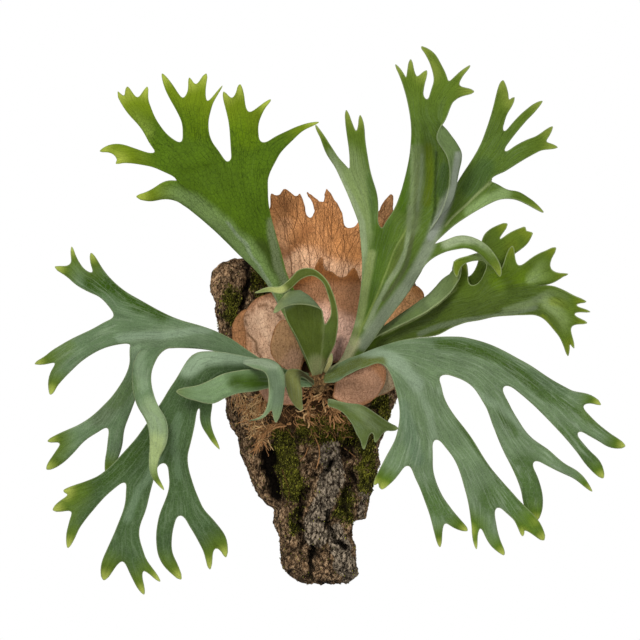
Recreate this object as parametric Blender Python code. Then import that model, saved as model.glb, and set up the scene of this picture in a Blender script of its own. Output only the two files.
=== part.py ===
# Staghorn fern mounted on a slab of cork bark that hangs flat on a wall.
# The wall plane is y = 0 and the room is towards -Y.  x runs right, z runs up.
# Positions in the tables are millimetres from the growing point (the crown):
# a row (f, x, z, x, z, ...) crosses a blade from one margin to the other, and
# f is how far that row stands in front of the crown; a row in square brackets
# holds points (x, z, f) of their own.  A lobe is (rows, [(from, to, lobe)...]):
# the child lobes grow out of the last row between two of its points, and a
# row with one point is the lobe's tip.
import bpy
import bmesh
import math
import random
from mathutils import Vector, noise

CROWN_OUT = 0.088        # crown to wall
CROWN_RADIUS = 0.0115
CROWN_BACK = 0.004       # centre of the crown ball behind the frond bases
GAP = 0.0003             # clearance between neighbouring pieces
FROND_THICK = 0.0013
SHIELD_THICK = 0.0011
TIP_STOPS = (0.45, 0.80, 0.96)  # rows along the last stretch of a lobe
PITCH = 0.020            # row spacing along a lobe
BARK_DEPTH = 0.040
BARK_STEP = 0.0085
HANGER_DEPTH = 0.003
MM = 0.001

for item in list(bpy.data.objects):
    bpy.data.objects.remove(item, do_unlink=True)


def material(name, color, roughness, metallic=0.0):
    mat = bpy.data.materials.new(name)
    mat.use_nodes = True
    shader = mat.node_tree.nodes["Principled BSDF"]
    shader.inputs["Base Color"].default_value = (*color, 1.0)
    shader.inputs["Roughness"].default_value = roughness
    shader.inputs["Metallic"].default_value = metallic
    return mat


def place(x, z, f):
    return Vector((x * MM, -CROWN_OUT - f * MM, z * MM))


def unpack(row):
    if isinstance(row, list):
        return [place(x, z, f) for x, z, f in row]
    f = row[0]
    return [place(row[i], row[i + 1], f) for i in range(1, len(row), 2)]


def cubic(p0, p1, p2, p3, t):
    d1 = max((p1 - p0).length, 1e-6)
    d2 = max((p2 - p1).length, 1e-6)
    d3 = max((p3 - p2).length, 1e-6)
    m1 = ((p1 - p0) / d1 - (p2 - p0) / (d1 + d2) + (p2 - p1) / d2) * d2
    m2 = ((p2 - p1) / d2 - (p3 - p1) / (d2 + d3) + (p3 - p2) / d3) * d2
    a = 2 * t ** 3 - 3 * t ** 2 + 1
    b = t ** 3 - 2 * t ** 2 + t
    c = -2 * t ** 3 + 3 * t ** 2
    d = t ** 3 - t ** 2
    return p1 * a + m1 * b + p2 * c + m2 * d


def across(points, shares, arch):
    # points at given shares of the length of a row, bowed towards the room
    if len(points) == 2:
        fine = [points[0].lerp(points[1], i / 24) for i in range(25)]
    else:
        ext = [points[0] * 2 - points[1]] + points + [points[-1] * 2 - points[-2]]
        fine = []
        for k in range(len(points) - 1):
            for i in range(12):
                fine.append(cubic(ext[k], ext[k + 1], ext[k + 2], ext[k + 3], i / 12))
        fine.append(points[-1])
    run = [0.0]
    for a, b in zip(fine, fine[1:]):
        run.append(run[-1] + (b - a).length)
    total = max(run[-1], 1e-9)
    out = []
    k = 0
    for share in shares:
        goal = share * total
        while k < len(fine) - 2 and run[k + 1] < goal:
            k += 1
        part = (goal - run[k]) / max(run[k + 1] - run[k], 1e-9)
        p = fine[k].lerp(fine[k + 1], min(max(part, 0.0), 1.0))
        bow = arch * total * 4 * share * (1 - share)
        out.append(p + Vector((0, -bow, 0)))
    return out


def spans(lobe, tip_cols):
    # columns of quads in each gap of a lobe's last row
    rows, kids = lobe
    if not kids:
        return [tip_cols]
    last = len(unpack(rows[-1])) - 1
    cols = [1] * last
    for a, b, kid in kids:
        n = sum(spans(kid, tip_cols))
        gaps = b - a
        base = n // gaps
        for i in range(a, b):
            cols[i] = base
        cols[a] += n - base * gaps
    return cols


def fork_shares(points, cols):
    # arc-length shares of the columns in a row whose gaps hold cols columns
    run = [0.0]
    for a, b in zip(points, points[1:]):
        run.append(run[-1] + (b - a).length)
    shares = [0.0]
    for k, n in enumerate(cols):
        for i in range(1, n + 1):
            shares.append((run[k] + (run[k + 1] - run[k]) * i / n) / run[-1])
    return shares


def fork_points(points, cols):
    out = [points[0]]
    for k, n in enumerate(cols):
        for i in range(1, n + 1):
            out.append(points[k].lerp(points[k + 1], i / n))
    return out


def grow(bm, lobe, start, before, verts, arch, tip_cols, pitch):
    rows, kids = lobe
    cols = spans(lobe, tip_cols)
    n = sum(cols)
    target = [i / n for i in range(n + 1)]
    if kids:
        target = fork_shares(unpack(rows[-1]), cols)
    even = [i / n for i in range(n + 1)]
    nets = [start] if start else []
    count = len(rows) - (0 if start else 1)
    for k, row in enumerate(rows):
        pts = unpack(row)
        if len(pts) == 1:
            nets.append([pts[0]] * (n + 1))
            continue
        if kids and k == len(rows) - 1:
            nets.append(fork_points(pts, cols))
            continue
        s = (k + (1 if start else 0)) / max(count, 1)
        mix = [a * (1 - s) + b * s for a, b in zip(even, target)]
        nets.append(across(pts, mix, arch))
    tipped = len(unpack(rows[-1])) == 1
    lead = before if before else [a * 2 - b for a, b in zip(nets[0], nets[1])]
    if verts is None:
        verts = [bm.verts.new(p) for p in nets[0]]
    for k in range(len(nets) - 1):
        p0 = lead if k == 0 else nets[k - 1]
        p1 = nets[k]
        p2 = nets[k + 1]
        p3 = nets[k + 2] if k + 2 < len(nets) else [b * 2 - a for a, b in zip(p1, p2)]
        mid = n // 2
        reach = (p2[mid] - p1[mid]).length
        steps = max(1, round(reach / pitch))
        stops = [(i + 1) / steps for i in range(steps)]
        last = tipped and k == len(nets) - 2
        width = (p1[-1] - p1[0]).length
        if last:
            stops = TIP_STOPS if reach > 0.010 else TIP_STOPS[1:]
        for t in stops:
            pts = [cubic(p0[j], p1[j], p2[j], p3[j], t) for j in range(n + 1)]
            if last:
                pts = rounded(pts, width, t)
            fresh = [bm.verts.new(p) for p in pts]
            for j in range(n):
                bm.faces.new((verts[j], verts[j + 1], fresh[j + 1], fresh[j]))
            verts = fresh
        if last:
            point = bm.verts.new(p2[0])
            for j in range(n):
                bm.faces.new((verts[j], verts[j + 1], point))
    if kids:
        marks = [0]
        for c in cols:
            marks.append(marks[-1] + c)
        for a, b, kid in kids:
            lo = marks[a]
            hi = marks[b]
            grow(bm, kid, nets[-1][lo:hi + 1], nets[-2][lo:hi + 1], verts[lo:hi + 1],
                 arch, tip_cols, pitch)


def rounded(pts, width, t):
    # lobes keep their width and end bluntly
    centre = (pts[0] + pts[-1]) / 2
    half = max((pts[-1] - pts[0]).length / 2, 1e-6)
    full = width / 2 * (1 - t ** 1.7) ** 0.67
    return [centre + (p - centre) * (full / half) for p in pts]


def tidy(bm):
    bmesh.ops.triangulate(bm, faces=bm.faces)
    bmesh.ops.recalc_face_normals(bm, faces=bm.faces)


def to_object(bm, name, mat):
    mesh = bpy.data.meshes.new(name)
    bm.to_mesh(mesh)
    bm.free()
    mesh.materials.append(mat)
    obj = bpy.data.objects.new(name, mesh)
    bpy.context.scene.collection.objects.link(obj)
    return obj


def cutter(name, bm):
    obj = to_object(bm, name, cut_mat)
    obj.hide_render = True
    obj.display_type = "WIRE"
    return obj


def subtract(obj, tool, solver="EXACT"):
    mod = obj.modifiers.new("cut_" + tool.name, "BOOLEAN")
    mod.operation = "DIFFERENCE"
    mod.solver = solver
    mod.object = tool


def sheet(name, lobe, thick, mat, arch=0.06, tip_cols=1, pitch=PITCH, trim=True):
    bm = bmesh.new()
    grow(bm, lobe, None, None, None, arch, tip_cols, pitch)
    tidy(bm)
    obj = to_object(bm, name, mat)
    solid = obj.modifiers.new("thickness", "SOLIDIFY")
    solid.thickness = thick
    solid.offset = 0.0
    solid.use_even_offset = False
    solid.use_rim = True
    if trim:
        subtract(obj, crown_cut, "MANIFOLD")
    return obj


def tip(*rows):
    return (list(rows), [])


cut_mat = material("cutter", (0.5, 0.5, 0.5), 0.5)
fan_green = material("fan_green", (0.10, 0.20, 0.025), 0.55)
tall_green = material("tall_green", (0.13, 0.22, 0.06), 0.55)
fold_green = material("fold_green", (0.16, 0.25, 0.09), 0.55)
droop_green = material("droop_green", (0.15, 0.24, 0.13), 0.55)
spread_green = material("spread_green", (0.11, 0.20, 0.09), 0.55)
low_green = material("low_green", (0.14, 0.25, 0.13), 0.55)
strap_green = material("strap_green", (0.16, 0.26, 0.12), 0.55)
young_green = material("young_green", (0.14, 0.22, 0.04), 0.55)
leaf_green = material("leaf_green", (0.15, 0.20, 0.05), 0.55)
small_green = material("small_green", (0.16, 0.25, 0.12), 0.55)
bud_green = material("bud_green", (0.24, 0.30, 0.12), 0.6)
shield_orange = material("shield_orange", (0.45, 0.20, 0.08), 0.75)
shield_brown = material("shield_brown", (0.32, 0.15, 0.09), 0.75)
shield_tan = material("shield_tan", (0.47, 0.28, 0.19), 0.75)
shield_rear = material("shield_rear", (0.42, 0.24, 0.15), 0.75)
shield_olive = material("shield_olive", (0.30, 0.19, 0.09), 0.75)
shield_low = material("shield_low", (0.42, 0.24, 0.17), 0.75)
shield_side = material("shield_side", (0.40, 0.22, 0.13), 0.75)
shield_pink = material("shield_pink", (0.42, 0.25, 0.18), 0.75)
shield_rim = material("shield_rim", (0.40, 0.21, 0.11), 0.75)
bark_brown = material("bark_brown", (0.10, 0.07, 0.05), 0.9)
root_brown = material("root_brown", (0.16, 0.10, 0.05), 0.95)
crown_brown = material("crown_brown", (0.13, 0.10, 0.05), 0.9)
steel = material("hanger_steel", (0.55, 0.55, 0.56), 0.35, 1.0)
screw_steel = material("screw_steel", (0.62, 0.62, 0.63), 0.3, 1.0)


# --- Crown: the growing point all fronds spring from ---
def crown_shape(extra):
    bm = bmesh.new()
    bmesh.ops.create_icosphere(bm, subdivisions=3, radius=CROWN_RADIUS + extra)
    for v in bm.verts:
        # the stub behind the growing point is rooted in the root mass
        v.co.y = v.co.y * (0.9 if v.co.y < 0 else 2.1) - CROWN_OUT + CROWN_BACK
        v.co.z -= 0.002
        v.co.x -= 0.001
    return bm


crown = to_object(crown_shape(0.0), "crown_rhizome", crown_brown)
crown_cut = cutter("crown_clearance", crown_shape(GAP))


# --- Fan-shaped frond, upper left ---
fan_tip_left = ([(58, -191, 214, -185, 229), (58, -197, 214, -200, 219, -196, 233)], [
    (0, 1, tip((57, -203, 213.5))),
    (1, 2, tip((57, -208, 225, -207, 233), (56, -219, 226)))])
fan_tip_two = ([(60, -178, 249, -162, 256), (60, -192, 264, -193, 279, -181, 274, -171, 277)], [
    (0, 1, tip((60, -199, 275, -196, 280), (60, -201, 285))),
    (1, 2, tip((60, -191, 290))),
    (2, 3, tip((60, -172, 290)))])
fan_left_pair = ([(57, -176, 212, -168, 223, -163, 226, -149, 240)], [
    (0, 1, fan_tip_left), (2, 3, fan_tip_two)])
fan_three_mid = ([(62, -131, 285, -124, 288, -114, 284)], [
    (0, 1, tip((62, -130, 299))),
    (1, 2, tip((62, -120, 295, -113, 293), (62, -113, 303)))])
fan_three = ([(60, -137, 253, -111, 253), (61, -142, 265, -136, 276, -113, 272, -107, 272)], [
    (0, 1, tip((62, -151, 281, -142, 285), (62, -157, 303))),
    (1, 2, fan_three_mid),
    (2, 3, tip((61, -105, 282, -101, 283), (61, -97, 291)))])
fan_left_half = ([(54, -152, 204, -98, 222), (56, -166, 210, -142, 235, -136, 237, -108, 236)], [
    (0, 1, fan_left_pair), (2, 3, fan_three)])
fan_four = ([(58, -91, 256, -61, 254), (59, -95, 272, -88, 276, -72, 260, -57, 264)], [
    (0, 1, tip((60, -96, 285))),
    (1, 2, tip((60, -83, 284, -75, 276), (60, -79, 292))),
    (2, 3, tip((58, -63, 268, -53, 271), (57, -49.5, 277)))])
fan_right_half = ([(55, -89, 232, -61, 237, -52, 235, -41, 222)], [
    (0, 1, fan_four),
    (2, 3, tip((52, -33, 246, -28, 236), (50, -19, 252, -16, 247), (48, -1, 255)))])
fan_side = tip([(-154, 179, 34), (-153, 197, 48)], [(-168, 176, 34), (-166, 189, 42)],
               [(-175, 177, 35), (-176, 184, 38)], [(-183, 181, 36)])
fan = ([
    (-2, -8, 3, -5, 5, -1, 6),
    [(-16, 22, 0), (-12, 24, 5), (-4, 26, 3)],
    [(-28, 48, 4), (-22, 50, 12), (-12, 54, 10)],
    [(-42, 75, 8), (-38, 77, 19), (-24, 84, 17)],
    [(-56, 98, 12), (-49, 94, 27), (-32, 101, 24)],
    [(-85, 128, 20), (-69, 129, 38), (-39, 126, 33)],
    [(-109, 151, 26), (-88, 152, 45), (-45, 147, 40)],
    [(-131, 169, 31), (-115, 177, 51), (-51, 172, 46)],
    [(-141, 176, 33), (-142, 196, 50), (-144, 200, 54), (-94, 216, 53), (-88, 218, 53),
     (-52, 197, 50)]], [
    (0, 1, fan_side), (2, 3, fan_left_half), (4, 5, fan_right_half)])

# --- Tall channelled frond, upper right ---
tall_left = ([(44, 32, 172, 57, 182), (48, 16, 208, 30, 206, 51, 203)], [
    (0, 1, tip((52, 6, 224, 19, 219), (55, 0, 240, 9, 234), (58, -4, 252))),
    (1, 2, ([(50, 29, 224, 47, 224), (52, 26, 246, 36, 243, 45, 238)], [
        (0, 1, tip((53, 25, 256, 31, 257), (54, 26, 267))),
        (1, 2, tip((53, 38, 252, 44, 251), (54, 40, 262)))]))])
tall_top_left = ([(66, 82, 292, 86, 297, 96, 297, 104, 292)], [
    (0, 1, tip((67, 78, 303, 83, 303), (68, 75, 312))),
    (1, 2, tip((68, 87, 308, 93, 308), (69, 90, 317))),
    (2, 3, tip((68, 106, 306)))])
tall_top_right = ([(64, 113, 295, 127, 293, 136, 290, 138, 279)], [
    (0, 1, tip((64, 109, 313, 120, 313), (64, 104, 323, 113, 324), (64, 101, 330))),
    (1, 2, tip((64, 135, 301, 143, 302), (64, 149, 311))),
    (2, 3, tip((62, 144, 289, 144, 281), (62, 153, 285)))])
tall_centre = ([
    [(75, 171, 44), (92, 172, 46), (107, 170, 38), (127, 170, 43), (121, 166, 54)],
    [(85, 201, 50), (94, 202, 53), (110, 200, 44), (138, 203, 50), (129, 198, 62)],
    [(90, 227, 55), (97, 229, 58), (109, 231, 50), (141, 222, 56), (126, 220, 68)],
    [(91, 245, 58), (98, 246, 61), (108, 247, 55), (128, 244, 60), (115, 240, 70)],
    [(90, 258, 61), (98, 262, 62), (106, 263, 60), (117, 261, 61), (125, 257, 64)],
    (63, 86, 278, 102.5, 281, 108, 277, 131, 273)], [
    (0, 1, tall_top_left), (2, 3, tall_top_right)])
tall_mn = ([(32, 207, 238, 207, 220), (32, 215, 241, 223, 235, 220, 227)], [
    (0, 1, tip((32, 232, 251))),
    (1, 2, tip((32, 237, 230)))])
tall_upper = ([(30, 160, 233, 186, 207),
               (30, 166, 249, 182, 249, 185, 246, 184, 229, 186, 225, 194, 212)], [
    (0, 1, ([(30, 172, 268, 187, 264), (30, 176, 285, 187.5, 276, 191, 270)], [
        (0, 1, tip((30, 183, 297))),
        (1, 2, tip((30, 194, 280)))])),
    (2, 3, tip((31, 196, 259, 196, 245), (31, 207, 269, 206, 257), (31, 222, 276))),
    (4, 5, tall_mn)])
tall_lower = tip([(186, 188, 26), (184.5, 179, 32)], [(198, 186, 27), (196, 178, 34)],
                 [(207, 181, 28), (206, 174, 34)], [(223, 165.5, 32)])
tall_right = ([
    [(124, 172, 26), (136, 165, 32), (132, 151, 40)],
    [(133, 188, 24), (152, 180, 29), (145, 160, 38)],
    [(141, 202, 25), (164, 191, 27), (158, 168, 36)],
    [(149, 214, 28), (171, 199, 28), (172, 195, 28), (173, 176, 34)]], [
    (0, 1, tall_upper), (2, 3, tall_lower)])
tall_ribbon = tip((44, 124, 137, 123, 125), (50, 139, 142, 135, 128),
                  (55, 150, 141, 148, 129), [(164, 134, 60), (157, 125, 56)],
                  [(173, 124, 64), (166, 116, 58)], [(180, 110, 64), (174, 107, 60)],
                  (62, 179, 101))
tall = ([
    (-1, 3, 8, 6, 7, 8, 5),
    (4, 17, 15, 23, 13, 28, 10),
    [(28, 34, 11), (38, 31, 17), (47, 30, 13)],
    [(36, 60, 19), (50, 58, 26), (68, 59, 21)],
    [(40, 83, 25), (58, 83, 32), (84, 80, 24)],
    [(42, 110, 31), (71, 110, 38), (100, 105, 30)],
    [(39, 152, 38), (57.5, 154, 38), (62, 149, 38), (88, 150, 45), (110, 147, 42),
     (112, 139, 40), (113, 133, 40), (105, 113, 36)]], [
    (0, 1, tall_left), (2, 4, tall_centre), (4, 6, tall_right), (6, 7, tall_ribbon)])

# --- Frond with a folded upper margin, right ---
fold_bc = ([(30, 190, 146, 209, 137), (30, 197, 149, 206, 147, 211, 141)], [
    (0, 1, tip((30, 204, 151))),
    (1, 2, tip((30, 212, 145)))])
fold_band = ([
    [(141, 100, 18), (146, 88, 18)],
    [(149, 101, 19), (158, 90, 19)],
    [(155.7, 110.5, 22), (174, 97, 22)],
    [(158.5, 119, 25), (186, 107, 25)],
    (30, 161, 138, 180, 112),
    (30, 165, 146, 176, 135, 203, 129)], [
    (0, 1, tip((29, 176, 152, 181, 143), (29, 187, 154))),
    (1, 2, fold_bc)])
fold_ef = ([(42, 209, 119, 226, 93), (44, 217, 124.5, 225, 107, 235, 95)], [
    (0, 1, tip((46, 225, 127, 230, 119), (48, 235, 130))),
    (1, 2, tip((46, 236, 104.5, 240, 100.5), (48, 247, 104)))])
fold_gk = ([(44, 232, 92, 218, 62), (47, 243, 88, 252, 73, 248, 65, 248, 53, 237, 43)], [
    (0, 1, tip((49, 253, 82, 257, 75), (50, 265, 76.5))),
    (1, 2, tip((49, 260, 70, 258, 66), (50, 269, 66))),
    (2, 3, tip((48, 257, 60, 255, 54), (49, 266, 55))),
    (3, 4, ([(47, 251, 42, 248, 36, 242, 33)], [
        (0, 1, tip((46, 253, 30))),
        (1, 2, tip((46, 247, 22)))]))])
fold_curl = tip([(163, 118, 41), (175, 117, 42)], [(159, 117.5, 43), (168, 125, 44)],
                [(153.5, 117, 44), (158, 126.3, 45)], [(147, 115.5, 44), (147, 121.5, 45)],
                [(141.5, 113, 43), (138, 120, 44)], [(140, 109, 41), (131.5, 118, 42)],
                [(138.5, 106, 40), (132.5, 109, 40)], [(136, 101, 39)])
fold_blade = ([
    [(161, 97, 33), (160, 77, 30), (159, 57.5, 28)],
    [(165, 108.5, 37), (168, 84, 33), (168, 60, 32)],
    [(166, 113, 39), (176, 109, 39), (180, 106.5, 38), (196, 108, 37), (216, 92, 37),
     (201, 63, 36)]], [
    (0, 1, fold_curl),
    (2, 3, tip((38, 185, 122, 194, 122), (39, 191.5, 132))),
    (3, 4, fold_ef), (4, 5, fold_gk)])
folded = ([
    (-5, 3, 1, 4, 3, 5, -2),
    [(33, 23, 0), (33, 27, -5), (40, 17, -5)],
    [(57, 41, 8), (54, 44, -1), (64, 30, 0)],
    [(81, 53, 17), (84, 66, 6), (90, 39, 6)],
    [(110, 68, 25), (111, 86, 12), (118, 43, 12)],
    [(128, 83, 30), (122, 98, 17), (131, 50, 18)],
    [(139.5, 100, 34), (130.5, 106, 24), (141, 110, 22), (148, 98, 26), (153, 91, 28),
     (150, 72, 26), (147, 56, 24)]], [
    (0, 1, tip([(141, 108, 36), (132, 112, 30)], [(137, 116, 34)])),
    (1, 2, fold_band),
    (2, 3, tip([(142, 114, 24), (147.5, 108, 27)], [(144.8, 117.5, 26)])),
    (4, 6, fold_blade)])

# --- Large drooping frond, lower right ---
droop_ml = ([(86, 58, -92, 59, -102, 76, -98)], [
    (0, 1, tip((86, 53, -105))),
    (1, 2, tip((86, 62, -110)))])
droop_kj = ([(88, 100, -111, 120, -114), (90, 109, -136, 123, -141, 131, -130)], [
    (0, 1, tip((90, 114, -155, 121, -152), (90, 119, -167))),
    (1, 2, tip((91, 131, -147, 140, -141), (91, 146, -151)))])
droop_left = ([(85, 64, -80, 83, -88, 91, -88, 112, -90)], [
    (0, 1, droop_ml), (2, 3, droop_kj)])
droop_ih = ([(92, 150, -145, 159, -143, 176, -152)], [
    (0, 1, tip((92, 151, -157, 156, -156), (92, 155, -169))),
    (1, 2, tip((93, 166, -161, 179, -162), (93, 182, -175)))])
droop_g = ([(94, 192, -139, 202, -148, 214, -137)], [
    (0, 1, tip((94, 200, -156))),
    (1, 2, tip((95, 213, -156, 221, -149), (95, 222, -160)))])
droop_mid = ([(85, 133, -80, 166, -84), (90, 146, -118, 172, -131, 179, -128, 195, -118)], [
    (0, 1, droop_ih), (2, 3, droop_g)])
droop_low = ([(82, 79, -39, 124, -21), (84, 76, -56, 111, -63, 119, -61, 150, -58)], [
    (0, 1, droop_left), (2, 3, droop_mid)])
droop_ed = ([(78, 172, -48, 194, -37), (80, 182, -72, 208, -57),
             (82, 191, -90, 210, -86, 216, -81, 226, -70)], [
    (0, 1, tip((84, 199, -110, 218, -104), (85, 203, -128, 221, -124), (86, 214, -142))),
    (2, 3, tip((84, 234, -91, 242, -84), (86, 253, -100, 257, -93), (88, 270, -112)))])
droop_cba = ([(72, 208, -23, 230, -1),
              (74, 236, -51, 255, -57, 259, -52, 258, -27, 252, -13)], [
    (0, 1, tip((76, 254, -72, 267, -71), (78, 268, -90, 279, -84), (80, 281, -99))),
    (2, 3, tip((75, 276, -62, 276, -45), (76, 289, -69, 290, -56), (77, 303, -67))),
    (3, 4, tip((72, 268, -24, 270, -16), (72, 279, -26)))])
droop_high = ([(74, 150, -7, 166, 35), (74, 164, -27, 180, -12, 187, -6, 206, 15)], [
    (0, 1, droop_ed), (2, 3, droop_cba)])
droop = ([
    (4, 2, -5, 4, 2),
    [(15, -4, 16), (15, 12, 12)],
    [(27, 3, 36), (27, 19, 28)],
    [(45, 11, 60), (40, 23.5, 44)],
    [(64, 14, 78), (54, 29, 56)],
    [(70, 4, 82), (74, 36, 62)],
    [(76, -14, 82), (118, -1, 76), (125, 5, 75), (134, 42, 62)]], [
    (0, 1, droop_low), (2, 3, droop_high)])

# --- Spreading frond, left ---
spread_bc = ([(40, -234, 108, -243, 93), (40, -240, 116, -246, 111, -252, 101)], [
    (0, 1, tip((41, -244, 124, -248, 120), (41, -247.5, 131))),
    (1, 2, tip((41, -255, 111, -258, 105), (41, -264, 111)))])
spread_top = ([(38, -202, 93, -218, 80), (39, -212, 103, -224, 103, -231, 86)], [
    (0, 1, tip((40, -219, 113, -228, 112), (41, -228, 125))),
    (1, 2, spread_bc)])
spread_mid = ([(37, -227, 49, -215, 30), (38, -248, 39, -236, 18),
               (39, -267, 28, -261, 17, -252, 3)], [
    (0, 1, tip((40, -275, 21, -268, 15), (40, -284, 14))),
    (1, 2, tip((40, -270, 2, -262, -8), (40, -269, -16)))])
spread_fg = ([(17, -240, -46, -234, -62), (16, -251, -51, -257, -64.5, -247, -76)], [
    (0, 1, tip((15, -264, -57, -263, -64), (15, -272, -63))),
    (1, 2, tip((15, -267, -78, -260, -87), (15, -273, -91)))])
spread_back = ([(26, -190, 14, -176, 12), (20, -206, -16, -182, -14),
                (18, -222, -33, -216, -50, -210, -51, -195, -50)], [
    (0, 1, spread_fg),
    (2, 3, tip((16, -213, -72, -198, -70), (15, -215, -88, -204, -86), (14, -211, -102)))])
spread_droop = tip([(-184, 19, 42), (-165, 14, 48)], [(-187, 0, 52), (-168, 0, 58)],
                   [(-183, -24, 62), (-163, -22, 66)], [(-171, -47, 68), (-151, -46, 70)],
                   [(-169, -62, 70), (-152, -64, 70)], [(-170, -80, 70), (-160, -80, 68)],
                   [(-169, -94, 68), (-162, -93, 68)], (68, -155, -111))
spread = ([
    (-6, -8, 4, -8, -2),
    (0, -22, 7, -22, -4),
    (4, -36, 9, -36, -5),
    (8, -52, 15, -54, 2),
    (12, -68, 25, -72, 12),
    (18, -90, 40, -92, 23),
    (24, -112, 50, -112, 28),
    (30, -142, 59, -138, 30),
    (34, -190, 84, -206, 66, -208, 59, -192, 35, -189, 32, -176, 30, -152, 30)], [
    (0, 1, spread_top), (2, 3, spread_mid), (4, 5, spread_back), (5, 6, spread_droop)])

# --- Drooping frond, lower left ---
low_abc = ([(47, -219, -96, -213, -117), (46, -237, -104, -248, -115, -245, -131, -228, -134)], [
    (0, 1, tip((45, -255, -111))),
    (1, 2, tip((45, -256, -120, -253, -132), (45, -266, -131))),
    (2, 3, tip((45, -251, -148, -240, -150), (45, -251, -169)))])
low_def = ([(50, -194, -125, -173, -130), (50, -203, -150, -180, -152),
            (50, -212, -170, -195, -178, -176, -190, -174, -178)], [
    (0, 1, tip((50, -218, -187, -204, -188), (50, -215, -201))),
    (1, 2, tip((50, -185, -202, -177, -198), (50, -175, -215))),
    (2, 3, tip((50, -168, -196, -166, -190), (50, -159, -202)))])
low_left = ([(50, -203, -82, -198, -104, -192, -105, -168, -110)], [
    (0, 1, low_abc), (2, 3, low_def)])
low_hi = ([(48, -124, -157, -105, -142), (47, -116, -172, -106, -165, -93, -157)], [
    (0, 1, tip((47, -113, -183, -107, -176), (47, -109, -190))),
    (1, 2, tip((47, -99, -170, -92, -165), (47, -93.5, -178)))])
low_right = ([(50, -150, -107, -126, -106), (50, -160, -136, -143, -137, -134, -139, -117, -128)], [
    (0, 1, tip((50, -163, -158, -147, -155), (50, -159, -181, -147, -173),
               (50, -148, -194, -141, -187), (50, -138, -200))),
    (2, 3, low_hi)])
low_main = ([(52, -160, -27, -125, -48), (52, -181, -57, -161, -86, -151, -86, -132, -78)], [
    (0, 1, low_left), (2, 3, low_right)])
low = ([
    (1, -9, 1, -9, -5),
    (6, -24, 5, -24, -6),
    (13, -42, 12, -42, -2),
    (21, -60, 18.5, -60, 4),
    (29, -80, 23, -80, 6),
    (37, -101, 26.5, -100, 2),
    (44, -122, 26, -108, -6),
    [(-147, -6, 51), (-122, -31, 50), (-119, -30, 50), (-107, -24, 46)]], [
    (0, 1, low_main),
    (2, 3, tip((45, -119, -45, -109, -42), (43, -112, -57, -106, -55), (42, -100, -71)))])

# --- Short frond with a strap lobe and a hanging ribbon, left ---
strap_ribbon = ([
    [(-64, 15, 34), (-62, 12, 38)],
    [(-76, 18, 42), (-76, 14, 48)],
    [(-62, 20, 48), (-62, 9, 60)],
    [(-50, 20, 54), (-54, 7, 65)],
    [(-40, 16, 58), (-52, 1, 67)],
    [(-35, 0, 60), (-51, -8, 67)],
    [(-36, -16, 58), (-51, -20, 65)],
    [(-37, -27, 57), (-47, -27, 61), (-53, -31, 64)]], [
    (0, 1, tip((57, -44, -44))),
    (1, 2, tip((64, -55, -39, -59, -38), (66, -70, -42)))])
strap_leaf = tip((44, -66, 9, -66, -13), (50, -83, 7.5, -82, -15), (56, -98, 4, -96, -20),
                 (62, -110, -2, -108, -26), (66, -124, -8, -123, -22), (70, -143, -13))
strap = ([
    (4, -8, -4, -8, -9),
    (12, -22, -1, -22, -9),
    (22, -36, 4, -36, -9),
    [(-50, 10, 32), (-50, 7, 34), (-50, 6, 34), (-51, -10, 33)]], [
    (0, 1, strap_ribbon), (2, 3, strap_leaf)])

# --- Young centre frond ---
young_flap = tip([(-34, 61, 52), (-15, 66, 50), (3.5, 60, 54)],
                 [(-36, 69, 56), (-9, 79, 60), (0, 69, 68)],
                 [(-38, 75, 60), (-20, 87, 66), (-14, 73, 75)],
                 [(-39, 78, 66), (-31, 86, 71), (-27, 73, 77)],
                 [(-42, 74, 72), (-39, 75, 74), (-37, 70, 77)],
                 [(-46, 65, 77)])
young_ribbon = tip((56, 11, 64, 18, 62), (60, 8, 82, 14, 82), (63, 1, 97, 4, 101),
                   (65, -8, 102, -9, 109.5), (66, -18, 99, -20, 108.5),
                   (67, -28, 90, -31, 98), [(-38, 84, 70), (-41, 91, 70)],
                   (71, -50, 86, -49, 91), (72, -65, 85))
young = ([
    (3, -7, 1, 1, 3),
    (16, -13, 18, 8, 20),
    (31, -22, 38, 15, 35),
    (46, -31, 54, 4.5, 54, 6.5, 55, 18, 50)], [
    (0, 1, young_flap), (2, 3, young_ribbon)])

# --- Small fronds round the crown ---
bud = tip((1, 3, 6, 6, 4), (15, 5.5, 11.5, 9, 9), (25, 8.5, 19, 12.5, 16.5), (28, 12, 25))
low_leaf = tip((8, -6, -2, -6, -8), (20, -23, 9, -19, 1), (28, -34, 8, -20, -4),
               (31, -34, -8, -18, -13), (31, -29, -22, -18, -24), (30, -19, -32))
small = ([
    (3, 8, -20, 8, -28),
    (12, 27, -25, 21, -33),
    (20, 42, -27, 31, -44),
    (26, 60, -38, 65, -51, 51.5, -51, 37, -57)], [
    (0, 1, tip((28, 70, -45, 70, -53), (29, 78, -50))),
    (1, 2, tip((28, 61, -57, 54, -56), (29, 55, -64))),
    (2, 3, tip((28, 48, -59, 41, -63), (29, 44, -71)))])

sheet("frond_fan", fan, FROND_THICK, fan_green, 0.05)
sheet("frond_tall", tall, FROND_THICK, tall_green, 0.04)
sheet("frond_folded", folded, FROND_THICK, fold_green, 0.03)
sheet("frond_droop_right", droop, FROND_THICK, droop_green, 0.05)
sheet("frond_spread_left", spread, FROND_THICK, spread_green, 0.04)
sheet("frond_droop_left", low, FROND_THICK, low_green, 0.05)
sheet("frond_strap", strap, FROND_THICK, strap_green, 0.05)
sheet("frond_young", young, FROND_THICK, young_green, 0.05, pitch=0.013)
sheet("frond_bud", bud, FROND_THICK, bud_green, 0.1, 2, 0.008)
sheet("frond_low_leaf", low_leaf, FROND_THICK, leaf_green, 0.08, 3, 0.012)
sheet("frond_small", small, FROND_THICK, small_green, 0.06, pitch=0.012)

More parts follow.
